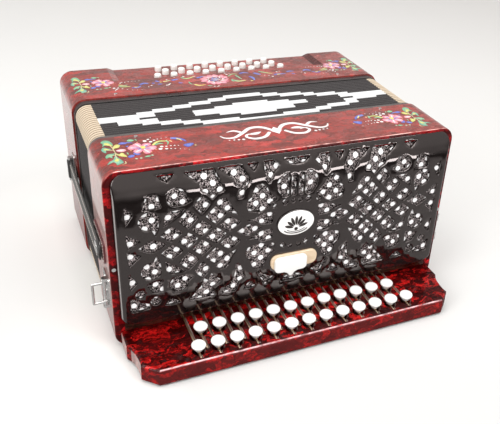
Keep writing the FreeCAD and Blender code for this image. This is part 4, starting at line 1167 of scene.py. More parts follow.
def build_bellows():
    xs, zs = bellows_stations()
    stages = bellows_stages()
    crown = bellows_section(xs, zs, 0.0)
    size = len(crown)
    sections = {inset: bellows_section(xs, zs, inset) for _, inset, _, _ in stages}
    # folds bow slightly out of line, as pressed card does; the first and last stay straight
    rng = random.Random(7)
    bow = [[rng.uniform(-0.10, 0.10) for _ in range(size)] for _ in range(FOLDS)]
    rings, weights = [], []
    for y, inset, weight, fold in stages:
        gain = 0.5 * (1.0 if inset < 2 else 0.3) * (0.0 if fold in (0, FOLDS - 1) else 1.0)
        rings.append([(x, y + bow[fold][j] * gain, z)
                      for j, (x, z) in enumerate(sections[inset])])
        weights += [weight] * size
    verts, faces = loft(rings, flipped=True)
    ob = make("bellows_folds", verts, faces[:-2], [BELLOWS], sharp=60)     # no end caps

    around = [0.0]
    middles = []
    for (xa, za), (xb, zb) in zip(crown, crown[1:] + crown[:1]):
        around.append(around[-1] + math.hypot(xa - xb, za - zb))
        middles.append(((xa + xb) / 2, (za + zb) / 2))
    patches = white_patch_folds()
    uvs, colors = [], []
    for r in range(len(stages) - 1):
        fold = stages[r][3]
        for j, (x, z) in enumerate(middles):
            beige = (x < BEIGE_X[0] or x > BEIGE_X[1]) and (z > 176 or z < 20)
            white = not beige and z > 190 and any(
                x0 <= x <= x1 and first <= fold < end for x0, x1, first, end in patches)
            for ring, k in ((r, j), (r + 1, j), (r + 1, j + 1), (r, j + 1)):
                y, inset = stages[ring][:2]
                uvs.append((around[k] * MM, (y + inset) * MM))
                # each ring's depth is kept as the mask for the painted shade in the fold valleys
                depth = min(1.0, max(0.0, (inset - 0.10) / 1.05))
                colors.append((float(white), float(beige), depth, 1.0))
    uv_layer = ob.data.uv_layers.new(name="rest")
    color_layer = ob.data.color_attributes.new("Col", "FLOAT_COLOR", "CORNER")
    uv_layer.data.foreach_set("uv", np.array(uvs, np.float32).ravel())
    color_layer.data.foreach_set("color", np.array(colors, np.float32).ravel())
    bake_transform(ob)
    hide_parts("bellows")


build_bellows()

# ---------------------------------------------------------------- painting on the top faces
BLUE, LIGHT_BLUE = (0.035, 0.065, 0.50), (0.16, 0.24, 0.72)
GREEN, LIGHT_GREEN = (0.11, 0.40, 0.22), (0.30, 0.62, 0.36)
YELLOW, ORANGE, PAPER_WHITE = (0.85, 0.72, 0.10), (0.85, 0.38, 0.12), (0.95, 0.92, 0.90)
SCROLL_WHITE = (0.95, 0.94, 0.93)


def turned(x, y, degrees):
    c, s = math.cos(math.radians(degrees)), math.sin(math.radians(degrees))
    return x * c - y * s, x * s + y * c


class Painting:
    """Thin colour patches laid on the top, in X and Y; a higher layer covers a lower one."""

    def __init__(self):
        self.parts = Parts()
        self.rng = random.Random(11)

    def lay(self, points, faces, colors, layer):
        lift = 0.06 + 0.035 * layer
        verts = []
        for x, y in points:
            past = max(0.0, abs(x) - (WIDTH / 2 - EDGE_RADIUS))
            top = HEIGHT - EDGE_RADIUS + math.sqrt(max(0.0, EDGE_RADIUS ** 2 - past * past))
            verts.append((x, y, top + lift))
        self.parts.add((verts, faces), 0, colors)

    def patch(self, outline, rim, middle, layer, centre=None):
        """Filled outline shaded from its middle colour to its rim colour."""
        n = len(outline)
        cx, cy = centre or (sum(p[0] for p in outline) / n, sum(p[1] for p in outline) / n)
        points, colors, faces = [(cx, cy)], [middle], []
        for t in (0.55, 1.0):
            for x, y in outline:
                points.append((cx + (x - cx) * t, cy + (y - cy) * t))
                shade = self.rng.uniform(0.85, 1.15)
                colors.append(tuple(min(1.0, shade * ((1 - t) * a + t * b))
                                    for a, b in zip(middle, rim)))
        for i in range(1, n + 1):
            i2 = i % n + 1
            faces += [(0, i, i2), (i, n + i, n + i2, i2)]
        self.lay(points, faces, colors, layer)

    def petal(self, x, y, angle, length, width, rim, middle, layer, curl=0.0):
        left, right = [], []
        for k in range(9):
            t = k / 8
            half = width / 2 * math.sin(math.pi * t) ** 0.75 if 0 < t < 1 else 0.0
            bow = curl * length * math.sin(math.pi * t)
            left.append((t * length, bow + half))
            right.append((t * length, bow - half))
        points = right + left[::-1][1:-1] + [(0.45 * length, curl * length)]
        points = [turned(px, py, angle) for px, py in points]
        points = [(x + px, y + py) for px, py in points]
        self.patch(points[:-1], rim, middle, layer, points[-1])

    def dot(self, x, y, radius, color=PAPER_WHITE, layer=2):
        self.patch(ellipse(x, y, radius, radius, 10), color, color, layer)

    def stroke(self, points, width, end_width, color, end_color, layer=1, steps=6):
        path = catmull(points, steps)
        last = len(path) - 1
        verts, faces, colors = [], [], []
        for i, point in enumerate(path):
            t = i / last
            along = unit(path[min(i + 1, last)] - path[max(i - 1, 0)])
            swell = 0.25 + 0.75 * math.sin(math.pi * min(1.0, t * 0.9 + 0.1)) ** 0.5
            across = np.array((-along[1], along[0])) * (width + (end_width - width) * t) * swell
            verts += [tuple(point + across * side / 2) for side in (-1, 0, 1)]
            color_here = tuple((1 - t) * a + t * b for a, b in zip(color, end_color))
            colors += [color_here] * 3
        for i in range(last):
            for k in (3 * i, 3 * i + 1):
                faces.append((k + 3, k + 4, k + 1, k))
        self.lay(verts, faces, colors, layer)

    def shape(self, loop, rim, middle, layer=1):
        """Soft-edged brush shape from a rough outline."""
        self.patch([tuple(p) for p in catmull(loop, 3, True)], rim, middle, layer)


# Corner spray, x and y from the heart of its flower
SPRAY_LEAVES = [
    [(-30.6, 25.5), (-26.3, 23.5), (-24.2, 16.8), (-24.8, 11.7), (-27.7, 12.6), (-31.1, 14.3),
     (-34.0, 12.8), (-32.6, 17.7), (-34.0, 22.0)],
    [(-35.9, 8.0), (-33.4, 11.2), (-30.4, 8.1), (-27.1, 5.0), (-30.1, 2.9), (-32.0, 3.4),
     (-33.0, -1.3), (-34.6, 1.3), (-35.7, 5.3)],
    [(-35.0, -8.1), (-32.1, -4.4), (-27.4, -4.4), (-25.3, -3.8), (-28.9, -9.6), (-29.6, -13.7),
     (-31.8, -10.9), (-34.3, -12.0)],
    [(-36.1, -23.7), (-33.7, -19.4), (-29.8, -17.1), (-26.6, -9.6), (-24.7, -13.7),
     (-22.6, -19.3), (-22.0, -24.3), (-25.4, -27.0), (-28.4, -28.1), (-28.6, -24.4),
     (-31.1, -20.9), (-33.9, -22.1)]]
SPRAY_YELLOW = [
    [(-31.4, 18.9), (-28.3, 19.2), (-25.6, 14.2), (-24.9, 11.0), (-28.2, 13.5), (-31.4, 15.6)],
    [(-25.4, 8.5), (-22.1, 13.2), (-19.4, 13.2), (-18.2, 10.8), (-20.4, 6.7), (-24.2, 5.6),
     (-26.3, 3.7)],
    [(-25.5, -3.2), (-23.1, -7.1), (-19.6, -4.5), (-18.0, -8.6), (-16.6, -14.0),
     (-20.1, -13.0), (-23.2, -10.6), (-25.4, -6.4)],
    [(-28.9, -18.7), (-25.8, -14.8), (-24.4, -18.0), (-25.8, -20.7), (-27.9, -21.1)],
    [(-33.0, 8.0), (-29.0, 5.6), (-30.0, 4.2), (-33.6, 5.0)]]
SPRAY_STEMS = [
    [(-26.9, 12.3), (-25.7, 6.8), (-25.4, -0.6), (-24.2, -6.8), (-20.0, -12.6)],
    [(-25.7, 6.8), (-22.4, 11.8)],
    [(-25.2, -2.4), (-26.1, -10.5), (-26.6, -18.8)],
    [(-20.2, -22.7), (-20.5, -26.8), (-24.3, -28.0)],
    [(-25.7, 2.0), (-30.0, 3.6), (-33.6, 6.4)],
    [(-26.0, -8.0), (-29.6, -8.4), (-33.2, -8.0)]]
SPRAY_BUD = [(-24.0, 1.1), (-19.9, 2.9), (-15.8, 2.0), (-15.2, -1.8), (-19.4, -3.4),
             (-22.6, -1.5)]
SPRAY_BLUE = [
    [(-19.0, 15.0), (-15.8, 17.4), (-11.8, 15.8), (-11.5, 13.4), (-15.0, 12.3), (-18.4, 13.3)],
    [(-13.8, 7.5), (-11.5, 8.3), (-11.2, 6.7), (-13.2, 5.8)],
    [(-16.2, -13.7), (-13.2, -11.5), (-10.0, -12.1), (-10.9, -15.7), (-15.0, -16.9)],
    [(-9.8, -7.6), (-6.8, -8.3), (-4.1, -11.9), (-7.0, -13.6), (-9.5, -11.6)]]
SPRAY_GREEN = [
    [(-10.5, 19.3), (-7.4, 22.0), (-3.6, 19.3), (-5.3, 16.7), (-9.0, 17.0)],
    [(-2.5, 21.0), (-1.0, 18.6), (-1.6, 17.0), (-2.7, 18.9)],
    [(-15.5, -5.3), (-14.4, -6.5), (-14.5, -9.9), (-15.5, -9.1)],
    [(-2.2, -18.7), (1.4, -16.5), (3.8, -17.9), (2.5, -19.7), (-0.6, -19.8)]]
SPRAY_GREEN_DOTS = [(-9.7, -20.3), (-5.5, -20.2), (5.4, -17.2)]
# Long arm of the spray: points, width, end width, colour, end colour, layer
SPRAY_ARM = [
    ([(10.5, 3.4), (14.8, 8.3), (19.1, 10.1), (23.7, 9.1), (26.3, 10.9)], 3.0, 1.8,
     (0.78, 0.78, 0.20), (0.50, 0.64, 0.18), 1.4),
    ([(12.6, 3.0), (16.4, 5.2), (20.8, 4.0)], 3.0, 1.6, GREEN, LIGHT_GREEN, 1.2),
    ([(24.5, 9.6), (25.8, 5.7), (23.4, 0.0)], 2.6, 1.0, LIGHT_GREEN, GREEN, 1.6),
    ([(27.9, 9.2), (29.5, 5.6)], 2.4, 1.4, ORANGE, (0.9, 0.6, 0.3), 1.8),
    ([(30.1, 13.9), (33.4, 12.9), (37.4, 10.6), (41.0, 7.0), (42.5, 2.5)], 4.8, 2.6,
     LIGHT_BLUE, BLUE, 1.2),
    ([(35.4, 12.0), (37.6, 8.8), (38.9, 5.6)], 1.9, 1.2, (0.92, 0.84, 0.30), YELLOW, 2)]
SPRAY_ARM_END = [(37.8, -3.9), (42.5, -1.7), (47.0, -1.9), (47.9, -4.1), (43.8, -8.5),
                 (40.4, -9.1)]
# x, y, radius
SPRAY_ARM_DOTS = [
    (5.4, 14.1, 1.9), (9.1, 16.8, 1.3), (10.4, 11.1, 1.7), (14.2, 13.4, 1.3),
    (17.8, 15.2, 0.8), (21.5, 16.0, 0.6), (26.6, 17.0, 0.6), (12.2, 20.0, 0.6),
    (17.7, -1.9, 1.7), (15.6, -6.4, 2.0), (21.9, -2.6, 1.1), (20.9, -7.6, 1.5),
    (26.2, -2.4, 0.9), (24.9, -8.5, 0.8), (29.7, -2.9, 0.9), (28.7, -9.6, 0.8),
    (33.2, -3.6, 0.7), (33.0, -11.2, 0.6), (36.7, -13.0, 0.55), (40.6, -14.9, 0.5)]
SPRAY_TIP_DOT = (48.7, -7.4, 0.9)
PETALS = [
    [(-7.4, 8.6), (-3.9, 11.7), (-0.9, 11.1), (0.6, 6.6), (-0.1, 1.5), (-4.5, 3.3)],
    [(-12.6, 3.4), (-8.9, 8.6), (-6.2, 7.1), (-0.7, 1.0), (-6.7, -1.0), (-11.1, -1.5),
     (-12.8, 0.5)],
    [(-9.3, -4.2), (-5.5, -0.9), (-0.3, -1.4), (-2.0, -7.5), (-6.3, -10.2), (-8.7, -7.6)],
    [(0.0, -2.5), (5.4, -2.3), (7.1, -8.5), (4.9, -12.5), (0.7, -13.0), (-1.0, -8.6)],
    [(1.9, -1.3), (8.3, 2.4), (12.5, 1.2), (12.8, -3.0), (9.3, -6.7), (5.6, -6.4),
     (2.8, -3.8)],
    [(0.0, 1.5), (1.6, 7.8), (5.0, 9.4), (9.1, 8.2), (8.9, 4.2), (4.6, 1.2), (1.1, 0.4)]]
FLOWER_STREAKS = [((-9.0, 2.2), (-0.6, -0.6)), ((-5.0, -3.6), (0.2, -1.4)),
                  ((1.0, -2.0), (7.6, -2.6)), ((2.0, 1.0), (6.2, 4.6))]
FLOWER_EYE = [(-1.4, 2.6), (1.2, 4.0), (3.4, 2.0), (2.2, -1.6), (-0.8, -1.6)]
FLOWER_DOTS = [(-11.0, -2.6), (-0.4, -8.8), (11.2, -6.8), (-2.0, 12.6), (6.2, -11.0)]


def spray_flower(placed):
    """Six petals from a pale heart to a darker rim, with blue streaks and a yellow eye."""
    (ox, oy), = placed([(0.0, 0.0)])
    for k, petal in enumerate(PETALS):
        loop = placed(petal)
        rim = (0.74, 0.13, 0.24) if k % 2 else (0.80, 0.20, 0.32)
        art.shape(loop, rim, (0.97, 0.60, 0.66), 2.0 + 0.2 * (k % 3))
        cx = sum(p[0] for p in loop) / len(loop)
        cy = sum(p[1] for p in loop) / len(loop)
        vein = [(ox + (cx - ox) * t, oy + (cy - oy) * t) for t in (0.35, 1.0, 1.55)]
        art.stroke(vein, 1.7, 0.7, PAPER_WHITE, (0.98, 0.74, 0.78), 3.0, 4)
    for a, b in FLOWER_STREAKS:
        middle = ((a[0] + b[0]) / 2, (a[1] + b[1]) / 2 + 0.5)
        art.stroke(placed([a, middle, b]), 1.0, 2.0, LIGHT_BLUE, BLUE, 3.6, 4)
    art.shape(placed(FLOWER_EYE), (0.80, 0.62, 0.08), (0.97, 0.86, 0.20), 4.6)
    for x, y in placed(FLOWER_DOTS):
        art.dot(x, y, 0.8, ORANGE, 4.0)


def spray(cx, cy, mirror, scale=1.0, arm=True, arm_turn=0.0):
    """Corner spray round a flower; mirror=-1 turns it over in X."""
    def placed(points):
        return [(cx + x * scale * mirror, cy + y * scale) for x, y in points]

    for k, loop in enumerate(SPRAY_LEAVES):
        art.shape(placed(loop), (0.10, 0.36, 0.26) if k % 2 else GREEN, LIGHT_GREEN, 1)
    for loop in SPRAY_YELLOW:
        art.shape(placed(loop), (0.55, 0.60, 0.12), (0.90, 0.82, 0.22), 1.6)
    for points in SPRAY_STEMS:
        art.stroke(placed(points), 1.0, 0.7, (0.80, 0.66, 0.40), (0.62, 0.66, 0.30), 2.2, 5)
    art.shape(placed(SPRAY_BUD), (0.80, 0.22, 0.30), PAPER_WHITE, 2.4)
    art.stroke(placed([(-23.6, 0.4), (-19.8, 0.8), (-16.0, 1.2)]), 1.4, 0.8, PAPER_WHITE,
               (0.98, 0.8, 0.84), 3)
    for loop in SPRAY_BLUE:
        art.shape(placed(loop), BLUE, LIGHT_BLUE, 1.4)
    art.stroke(placed([(-12.0, 15.6), (-8.6, 14.4), (-5.8, 12.6)]), 2.2, 1.0, LIGHT_BLUE, BLUE,
               1.2, 5)
    for loop in SPRAY_GREEN:
        art.shape(placed(loop), GREEN, LIGHT_GREEN, 1.2)
    for x, y in placed(SPRAY_GREEN_DOTS):
        art.dot(x, y, 1.2, (0.42, 0.66, 0.46), 1.4)
    spray_flower(placed)
    if not arm:
        return

    def placed_arm(points):
        return placed([turned(x, y, arm_turn) for x, y in points])

    for points, *style in SPRAY_ARM:
        art.stroke(placed_arm(points), *style)
    art.shape(placed_arm(SPRAY_ARM_END), BLUE, LIGHT_BLUE, 1.2)
    for x, y, radius in SPRAY_ARM_DOTS:
        art.dot(*placed_arm([(x, y)])[0], radius)
    x, y, radius = SPRAY_TIP_DOT
    art.dot(*placed_arm([(x, y)])[0], radius, (0.9, 0.75, 0.35))


# Colour and end colour of the bass strokes
STROKE_COLORS = {
    "B": (BLUE, LIGHT_BLUE), "Y": ((0.90, 0.80, 0.25), YELLOW), "G": (GREEN, LIGHT_GREEN),
    "GY": (GREEN, (0.80, 0.78, 0.22)), "YG": ((0.86, 0.78, 0.24), LIGHT_GREEN),
    "W": (PAPER_WHITE, PAPER_WHITE)}
# Colour, width, points
BASS_ARM = [
    ("GY", 3.4, [(-129.0, 166.6), (-125.2, 163.3), (-116.5, 163.1)]),
    ("YG", 2.2, [(-128.7, 170.4), (-122.9, 166.7), (-118.9, 168.6)]),
    ("B", 3.4, [(-116.2, 158.2), (-110.4, 157.7), (-105.3, 161.4)]),
    ("Y", 2.0, [(-113.4, 159.4), (-108.9, 159.3)]),
    ("B", 4.2, [(-106.1, 165.5), (-100.2, 169.0), (-95.7, 165.9)])]
# x, y, radius
BASS_ARM_DOTS = [
    (-125.9, 175.3, 1.0), (-123.8, 177.3, 0.9), (-120.4, 177.0, 0.8), (-116.3, 178.0, 0.7),
    (-112.3, 178.0, 0.6), (-108.6, 177.6, 0.6), (-104.3, 177.6, 0.6), (-135.2, 161.4, 1.5),
    (-133.1, 157.6, 1.3), (-130.8, 161.0, 1.2), (-134.9, 153.9, 0.9), (-126.7, 157.6, 0.9),
    (-122.0, 154.0, 0.6), (-117.0, 151.6, 0.6), (-112.0, 150.4, 0.5), (-107.0, 150.0, 0.5)]
GARLAND = [
    ("YG", 3.0, [(-78.7, 169.1), (-74.2, 169.9), (-68.6, 172.3)]),
    ("B", 4.0, [(-86.7, 173.6), (-84.6, 171.2), (-82.5, 168.8)]),
    ("B", 3.2, [(-86.3, 162.1), (-83.6, 162.3), (-81.0, 162.0)]),
    ("W", 2.4, [(-78.3, 157.1), (-75.1, 157.8), (-71.6, 162.2)]),
    ("Y", 2.4, [(-82.7, 168.0), (-80.5, 168.3)]),
    ("B", 5.0, [(-68.3, 170.7), (-64.4, 171.9), (-59.6, 173.3)]),
    ("Y", 2.2, [(-65.6, 171.6), (-63.2, 172.3)]),
    ("GY", 4.0, [(-55.5, 178.1), (-51.9, 173.1), (-46.8, 173.4), (-40.0, 177.6)]),
    ("B", 3.6, [(-62.3, 162.1), (-60.4, 160.4), (-57.7, 160.3)]),
    ("G", 2.2, [(-50.6, 162.3), (-50.4, 157.0), (-49.4, 153.7), (-46.4, 152.6)]),
    ("Y", 3.4, [(-46.6, 152.0), (-42.1, 147.9), (-34.2, 148.4)]),
    ("G", 2.6, [(-32.9, 145.6), (-30.7, 143.8), (-27.9, 143.8)]),
    ("B", 4.4, [(-38.3, 172.0), (-33.9, 173.6), (-28.9, 175.0)]),
    ("GY", 2.6, [(-1.1, 168.4), (5.0, 174.2), (8.7, 174.7), (12.0, 172.5)]),
    ("G", 3.0, [(8.8, 170.0), (10.1, 163.7), (11.9, 155.5)]),
    ("GY", 5.0, [(0.9, 155.6), (6.1, 150.5), (15.7, 151.4)]),
    ("G", 2.2, [(1.4, 158.7), (-0.7, 154.4), (0.5, 149.3)]),
    ("B", 4.0, [(15.4, 174.4), (21.1, 176.5), (26.8, 173.8)]),
    ("B", 5.0, [(23.3, 162.6), (26.2, 157.6), (25.6, 149.0)]),
    ("Y", 2.6, [(20.4, 148.3), (23.8, 148.1)]),
    ("B", 5.4, [(33.0, 172.7), (36.2, 168.5), (39.8, 165.3)]),
    ("GY", 3.6, [(40.5, 176.7), (46.1, 172.0), (50.7, 168.2), (55.5, 166.4)]),
    ("B", 4.6, [(55.4, 161.6), (61.8, 162.2), (70.7, 161.4)]),
    ("Y", 2.6, [(59.2, 161.4), (64.0, 161.7)]),
    ("B", 4.0, [(73.9, 167.5), (79.4, 168.7), (84.0, 167.0)]),
    ("B", 3.4, [(78.0, 160.0), (82.0, 158.2)]),
    ("B", 3.4, [(-92.0, 167.0), (-88.6, 166.4)])]
GARLAND_DOTS = [
    (-39.5, 177.5), (-1.4, 179.7), (3.5, 178.6), (-0.5, 175.5), (43.3, 161.8), (48.1, 160.0),
    (51.3, 155.9), (-73.3, 174.4), (-63.3, 179.0), (-52.1, 180.0), (-26.2, 141.0),
    (-22.9, 139.4), (-21.0, 141.0), (-94.0, 160.0), (-98.0, 157.0), (62.0, 170.0),
    (66.0, 171.5), (92.0, 162.0), (95.0, 158.0)]


def bass_arms():
    for side in (1, -1):
        for color, width, points in BASS_ARM:
            art.stroke([(side * x, y) for x, y in points], width, width * 0.6,
                       *STROKE_COLORS[color], 1.4 + 0.3 * (color == "Y"))
        for x, y, radius in BASS_ARM_DOTS:
            art.dot(side * x, y, radius)


def garland():
    """Strokes and dots ahead of the bass buttons."""
    for k, (color, width, points) in enumerate(GARLAND):
        art.stroke(points, width, width * 0.55, *STROKE_COLORS[color], 1.2 + 0.35 * (k % 3))
    for k, (x, y) in enumerate(GARLAND_DOTS):
        art.dot(x, y, 1.3 - 0.25 * (k % 3), PAPER_WHITE if k % 4 else (0.95, 0.62, 0.55))


def ring_flower(cx, cy):
    """Loose red petals, white strokes and a dark heart."""
    for k in range(13):
        a = math.radians(360 / 13 * k + 6)
        x = cx + (12.6 + 1.6 * math.sin(3 * a)) * math.cos(a) - 3.4 * math.cos(a + 0.9)
        y = cy + 11.6 * math.sin(a) * 1.05 - 3.4 * math.sin(a + 0.9)
        rim = (0.72, 0.10, 0.20) if k % 2 else (0.82, 0.24, 0.34)
        art.petal(x, y, math.degrees(a) + 55, 10.5, 7.4, rim, (0.95, 0.50, 0.56),
                  2 + (k % 3) * 0.3, 0.18)
    for k in range(9):
        a = math.radians(40 * k + 14)
        art.petal(cx + 8.0 * math.cos(a), cy + 8.0 * math.sin(a), math.degrees(a) + 70,
                  7.6, 1.7, PAPER_WHITE, (0.98, 0.80, 0.82), 3.3, 0.2)
    for k in range(8):
        rim = (0.28, 0.30, 0.52) if k % 2 else LIGHT_BLUE
        if k % 3 == 0:
            rim = (0.42, 0.07, 0.14)
        art.petal(cx, cy, 45 * k + 10, 7.6, 3.6, rim, (0.16, 0.10, 0.30), 2.9 + 0.1 * (k % 2),
                  0.1)
    for angle, length in ((20, 5.0), (150, 5.6), (255, 4.6)):
        art.petal(cx + 0.8, cy, angle, length, 1.5, LIGHT_BLUE, PAPER_WHITE, 3.6)
    art.petal(cx + 2.4, cy - 1.0, 330, 5.2, 2.0, ORANGE, (0.9, 0.62, 0.3), 3.8)
    for k in range(5):
        a = math.radians(72 * k)
        art.dot(cx + 2.4 * math.cos(a), cy + 2.2 * math.sin(a), 0.6,
                PAPER_WHITE if k % 2 else YELLOW, 4)


# Scroll strokes from the middle of the flourish: width, end width, layer, points
SCROLLS = [
    (5.6, 2.6, 1, [(3, 1), (12, 11), (24, 12), (35, 3), (46, -5), (55, -4), (59, 2)]),
    (4.8, 2.2, 1.4, [(8, -2), (16, -11), (27, -13), (34, -7), (31, -1.5), (25, -3)]),
    (4.4, 1.8, 1.8, [(35, 4), (42, 10), (50, 8.5)])]


def flourish(cx, cy):
    """White mirrored scrolls round a small lozenge."""
    white = (SCROLL_WHITE, SCROLL_WHITE)
    for side in (-1, 1):
        for width, end_width, layer, points in SCROLLS:
            path = [(cx + side * x, cy + y) for x, y in points]
            art.stroke(path, width, end_width, *white, layer, 8)
        art.petal(cx + side * 16, cy + 1, 350 if side > 0 else 190, 15, 5.2, *white, 1.6, 0.1)
        for k in range(4):
            art.dot(cx + side * (39 + 4.6 * k), cy - 11.5 + 0.6 * k, 1.6 - 0.25 * k,
                    SCROLL_WHITE)
    art.patch(ellipse(cx, cy, 6.0, 8.5, 4), *white, 1.2)


def build_painting(name, body, on_treble):
    """One mesh from the patches that lie on the given casing."""
    source, index = art.parts, {}
    faces = [f for f in source.faces if (source.verts[f[0]][1] < 60) == on_treble]
    for face in faces:
        for i in face:
            index.setdefault(i, len(index))
    picture = Parts()
    picture.add(([source.verts[i] for i in index], [[index[i] for i in f] for f in faces]),
                0, [source.colors[i] for i in index])
    attach(picture.build(name, [PAINT]), body, None)


art = Painting()
spray(-139.7, 4.7, mirror=1)
spray(129.6, 2.2, mirror=-1, scale=0.98, arm_turn=8.0)
# the arms of the bass sprays are drawn apart
spray(-144.0, 181.0, mirror=1, scale=0.93, arm=False)
spray(140.2, 176.5, mirror=-1, scale=0.93, arm=False)
bass_arms()
garland()
ring_flower(-18.8, 161.8)
flourish(-4, FRONT_Y + 44.0)
build_painting("painted_spray_treble", "treble_body", on_treble=True)
build_painting("painted_spray_bass", "bass_body", on_treble=False)

# ---------------------------------------------------------------- badge and slider
FACE_Y = FRONT_Y - GRILLE_DEPTH     # outside of the grille
# Badge leaf: share of its length, share of its half width
LEAF = [(0, 0), (0.30, 0.8), (0.66, 1), (1, 0), (0.66, -1), (0.30, -0.8)]
# Pointed tongue at the lower edge of the slider
SLIDER_X0, SLIDER_X1, SLIDER_Z0, SLIDER_Z1 = -22.5, 13.5, 60.5, 78.5
TONGUE = [(-17.5, 60.5), (-12.0, 60.2), (-8.6, 58.6), (-6.6, 55.6), (-4.5, 54.0), (-2.4, 55.6),
          (-0.4, 58.6), (3.0, 60.2), (8.5, 60.5)]


def build_badge():
    badge = Parts()
    badge.add(plate(ellipse(0, 116.5, 21.0, 15.4, 64), FACE_Y - 1.0, FACE_Y - 0.02, 0.5), 1)
    badge.add(plate(ellipse(0, 116.5, 19.8, 14.2, 64), FACE_Y - 1.35, FACE_Y - 0.9, 0.3, 0.15),
              0)
    badge.add(plate(rounded_loop(-26, 26, 62.5, 80.5, 7.6), FACE_Y - 2.5, FACE_Y - 0.02, 1.0), 2)
    # open fan of seven leaves, a disc at its foot and a double arc below
    for k in range(7):
        a = math.radians(-72 + 24 * k)
        length, half = (12.6 if k in (2, 3, 4) else 11.4), 1.75
        loop = [(math.sin(a) * (2.6 + length * t) + math.cos(a) * half * s,
                 110.5 + math.cos(a) * (2.6 + length * t) - math.sin(a) * half * s)
                for t, s in LEAF]
        badge.add(plate(soften(loop, (0.25,)), FACE_Y - 1.62, FACE_Y - 1.3, 0.08, steps=1), 1)
    badge.add(plate(ellipse(0, 109.6, 2.0, 2.0, 20), FACE_Y - 1.66, FACE_Y - 1.3, 0.1, steps=1),
              1)
    angles = [math.radians(t) for t in range(204, 337, 7)]
    for half_x, half_z, mid_z, radius in ((14.2, 7.6, 112.4, 0.55), (11.0, 5.2, 112.0, 0.38)):
        arc = [(half_x * math.cos(t), FACE_Y - 1.45, mid_z + half_z * math.sin(t))
               for t in angles]
        badge.add(sweep(arc, radius, 6), 1)
    ob = badge.build("badge_and_escutcheon", [ENAMEL, BLACK, CREAM], 40)
    attach(ob, "treble_body", "grille_plates")


def build_slider():
    slider = Parts()
    # the tongue takes the place of the straight lower edge
    loop = rounded_loop(SLIDER_X0, SLIDER_X1, SLIDER_Z0, SLIDER_Z1, 5.0)
    loop = [p for p in loop if p[1] > SLIDER_Z0 + 0.01] + TONGUE
    slider.add(plate(loop, FACE_Y - 5.8, FACE_Y - 2.65, 1.1, 0.25))
    slider.add(rounded_box((-9, -1), (FACE_Y - 3, FACE_Y + 4.2), (70.5, 73.5), 0.3))
    slider.add(rounded_box((-11, 1), (FACE_Y + 4.2, FACE_Y + 5.4), (66, 78), 0.4))
    ob = slider.build("slider_thumb", [WHITE], 50)
    attach(ob, "register_slider", "register_slider")


build_badge()
build_slider()

# ---------------------------------------------------------------- closing straps and tabs
STRAP_X = WIDTH / 2 + 3.2           # inner face of the strap
STRAP_MID_Z, STRAP_HALF = 101.0, 11.5
STRAP_TIP_Y = FRONT_Y + 20
BAR_X, BAR_Y = WIDTH / 2 + 4.2, FRONT_Y + 205.0
# radius, height
STRAP_EYE = [(1.6, -11.4), (3.0, -11.4), (3.35, -10.9), (3.35, 10.9), (3.0, 11.4), (1.6, 11.4)]
SNAP = [(0, -0.2), (6.0, -0.2), (6.1, 0.3), (5.7, 0.75), (4.6, 0.8), (4.3, 0.6), (4.0, 0.9),
        (3.0, 1.25), (1.5, 1.4), (0, 1.42)]


def strap_body():
    """Strip along Y whose free end narrows to a round tip."""
    across = [-1 + 2 * k / 12 for k in range(13)]
    rings = []
    for y in [*np.linspace(STRAP_TIP_Y, FRONT_Y + 30, 9),
              *np.linspace(FRONT_Y + 34, BAR_Y - 4, 40)]:
        t = max(0.0, 1 - (y - STRAP_TIP_Y) / 10.0)
        half = STRAP_HALF * math.sqrt(1 - 0.92 * t * t)
        ring = []
        for u in across:
            thick = 2.0 * (1 - 0.5 * abs(u) ** 8) + 0.25 * (1 - u * u)
            ring.append((STRAP_X + thick, y, STRAP_MID_Z + half * u))
        ring += [(STRAP_X + 0.02, y, STRAP_MID_Z + half * u * 0.99) for u in reversed(across)]
        rings.append(ring)
    return loft(rings)


def build_closing_strap(side, name):
    strap = Parts()
    strap.add(strap_body(), 0)
    strap.add(lathe(STRAP_EYE, (BAR_X, BAR_Y, STRAP_MID_Z), segments=24, steps=1), 0)
    for z in (STRAP_MID_Z - 9.2, STRAP_MID_Z + 9.2):
        for k in range(46):
            y = FRONT_Y + 33 + k * 3.55
            stitch = [(2.12, 0), (2.32, 0.5), (2.36, 1.2), (2.12, 1.9)]
            strap.add(sweep([(STRAP_X + dx, y + dy, z) for dx, dy in stitch], 0.28, 6), 1)
    strap.add(lathe(SNAP, (STRAP_X + 2.3, FRONT_Y + 34, STRAP_MID_Z), 36, 2, "X"), 2)
    if side < 0:
        strap.mirror_x()
    ob = strap.build("closing_strap_" + name, [STRAP, THREAD, STEEL], 45)
    attach(ob, "bellows_strap_" + name, "bellows_strap_" + name)


def strap_tab(side):
    """Leather tab on the end of the treble casing, stitched round its edge."""
    tab_x, thick = WIDTH / 2 + 0.02, 1.9
    tab = Parts()
    loop = rounded_loop(FRONT_Y + 14, FRONT_Y + 66, 90.5, 115.5, 6.0, steps=6)
    verts, faces = plate(loop, 0.0, thick, 0.55)
    # turn the plate so that its front faces +X
    verts = [(tab_x + thick - y, x, z) for x, y, z in verts]
    tab.add((verts, [face[::-1] for face in faces]), 0)

    seam = offset(loop, -2.0)
    seam.append(seam[0])
    lengths = [0.0]
    for a, b in zip(seam, seam[1:]):
        lengths.append(lengths[-1] + math.dist(a, b))
    seam_y, seam_z = zip(*seam)
    count = int(lengths[-1] / 3.2)
    for k in range(count):
        stitch = []
        for along, height in ((0.0, 1.85), (0.9, 2.02), (1.8, 1.85)):
            d = (k * lengths[-1] / count + along) % lengths[-1]
            stitch.append((tab_x + height, np.interp(d, lengths, seam_y),
                           np.interp(d, lengths, seam_z)))
        tab.add(sweep(stitch, 0.24, 6), 1)
    if side < 0:
        tab.mirror_x()
    return tab


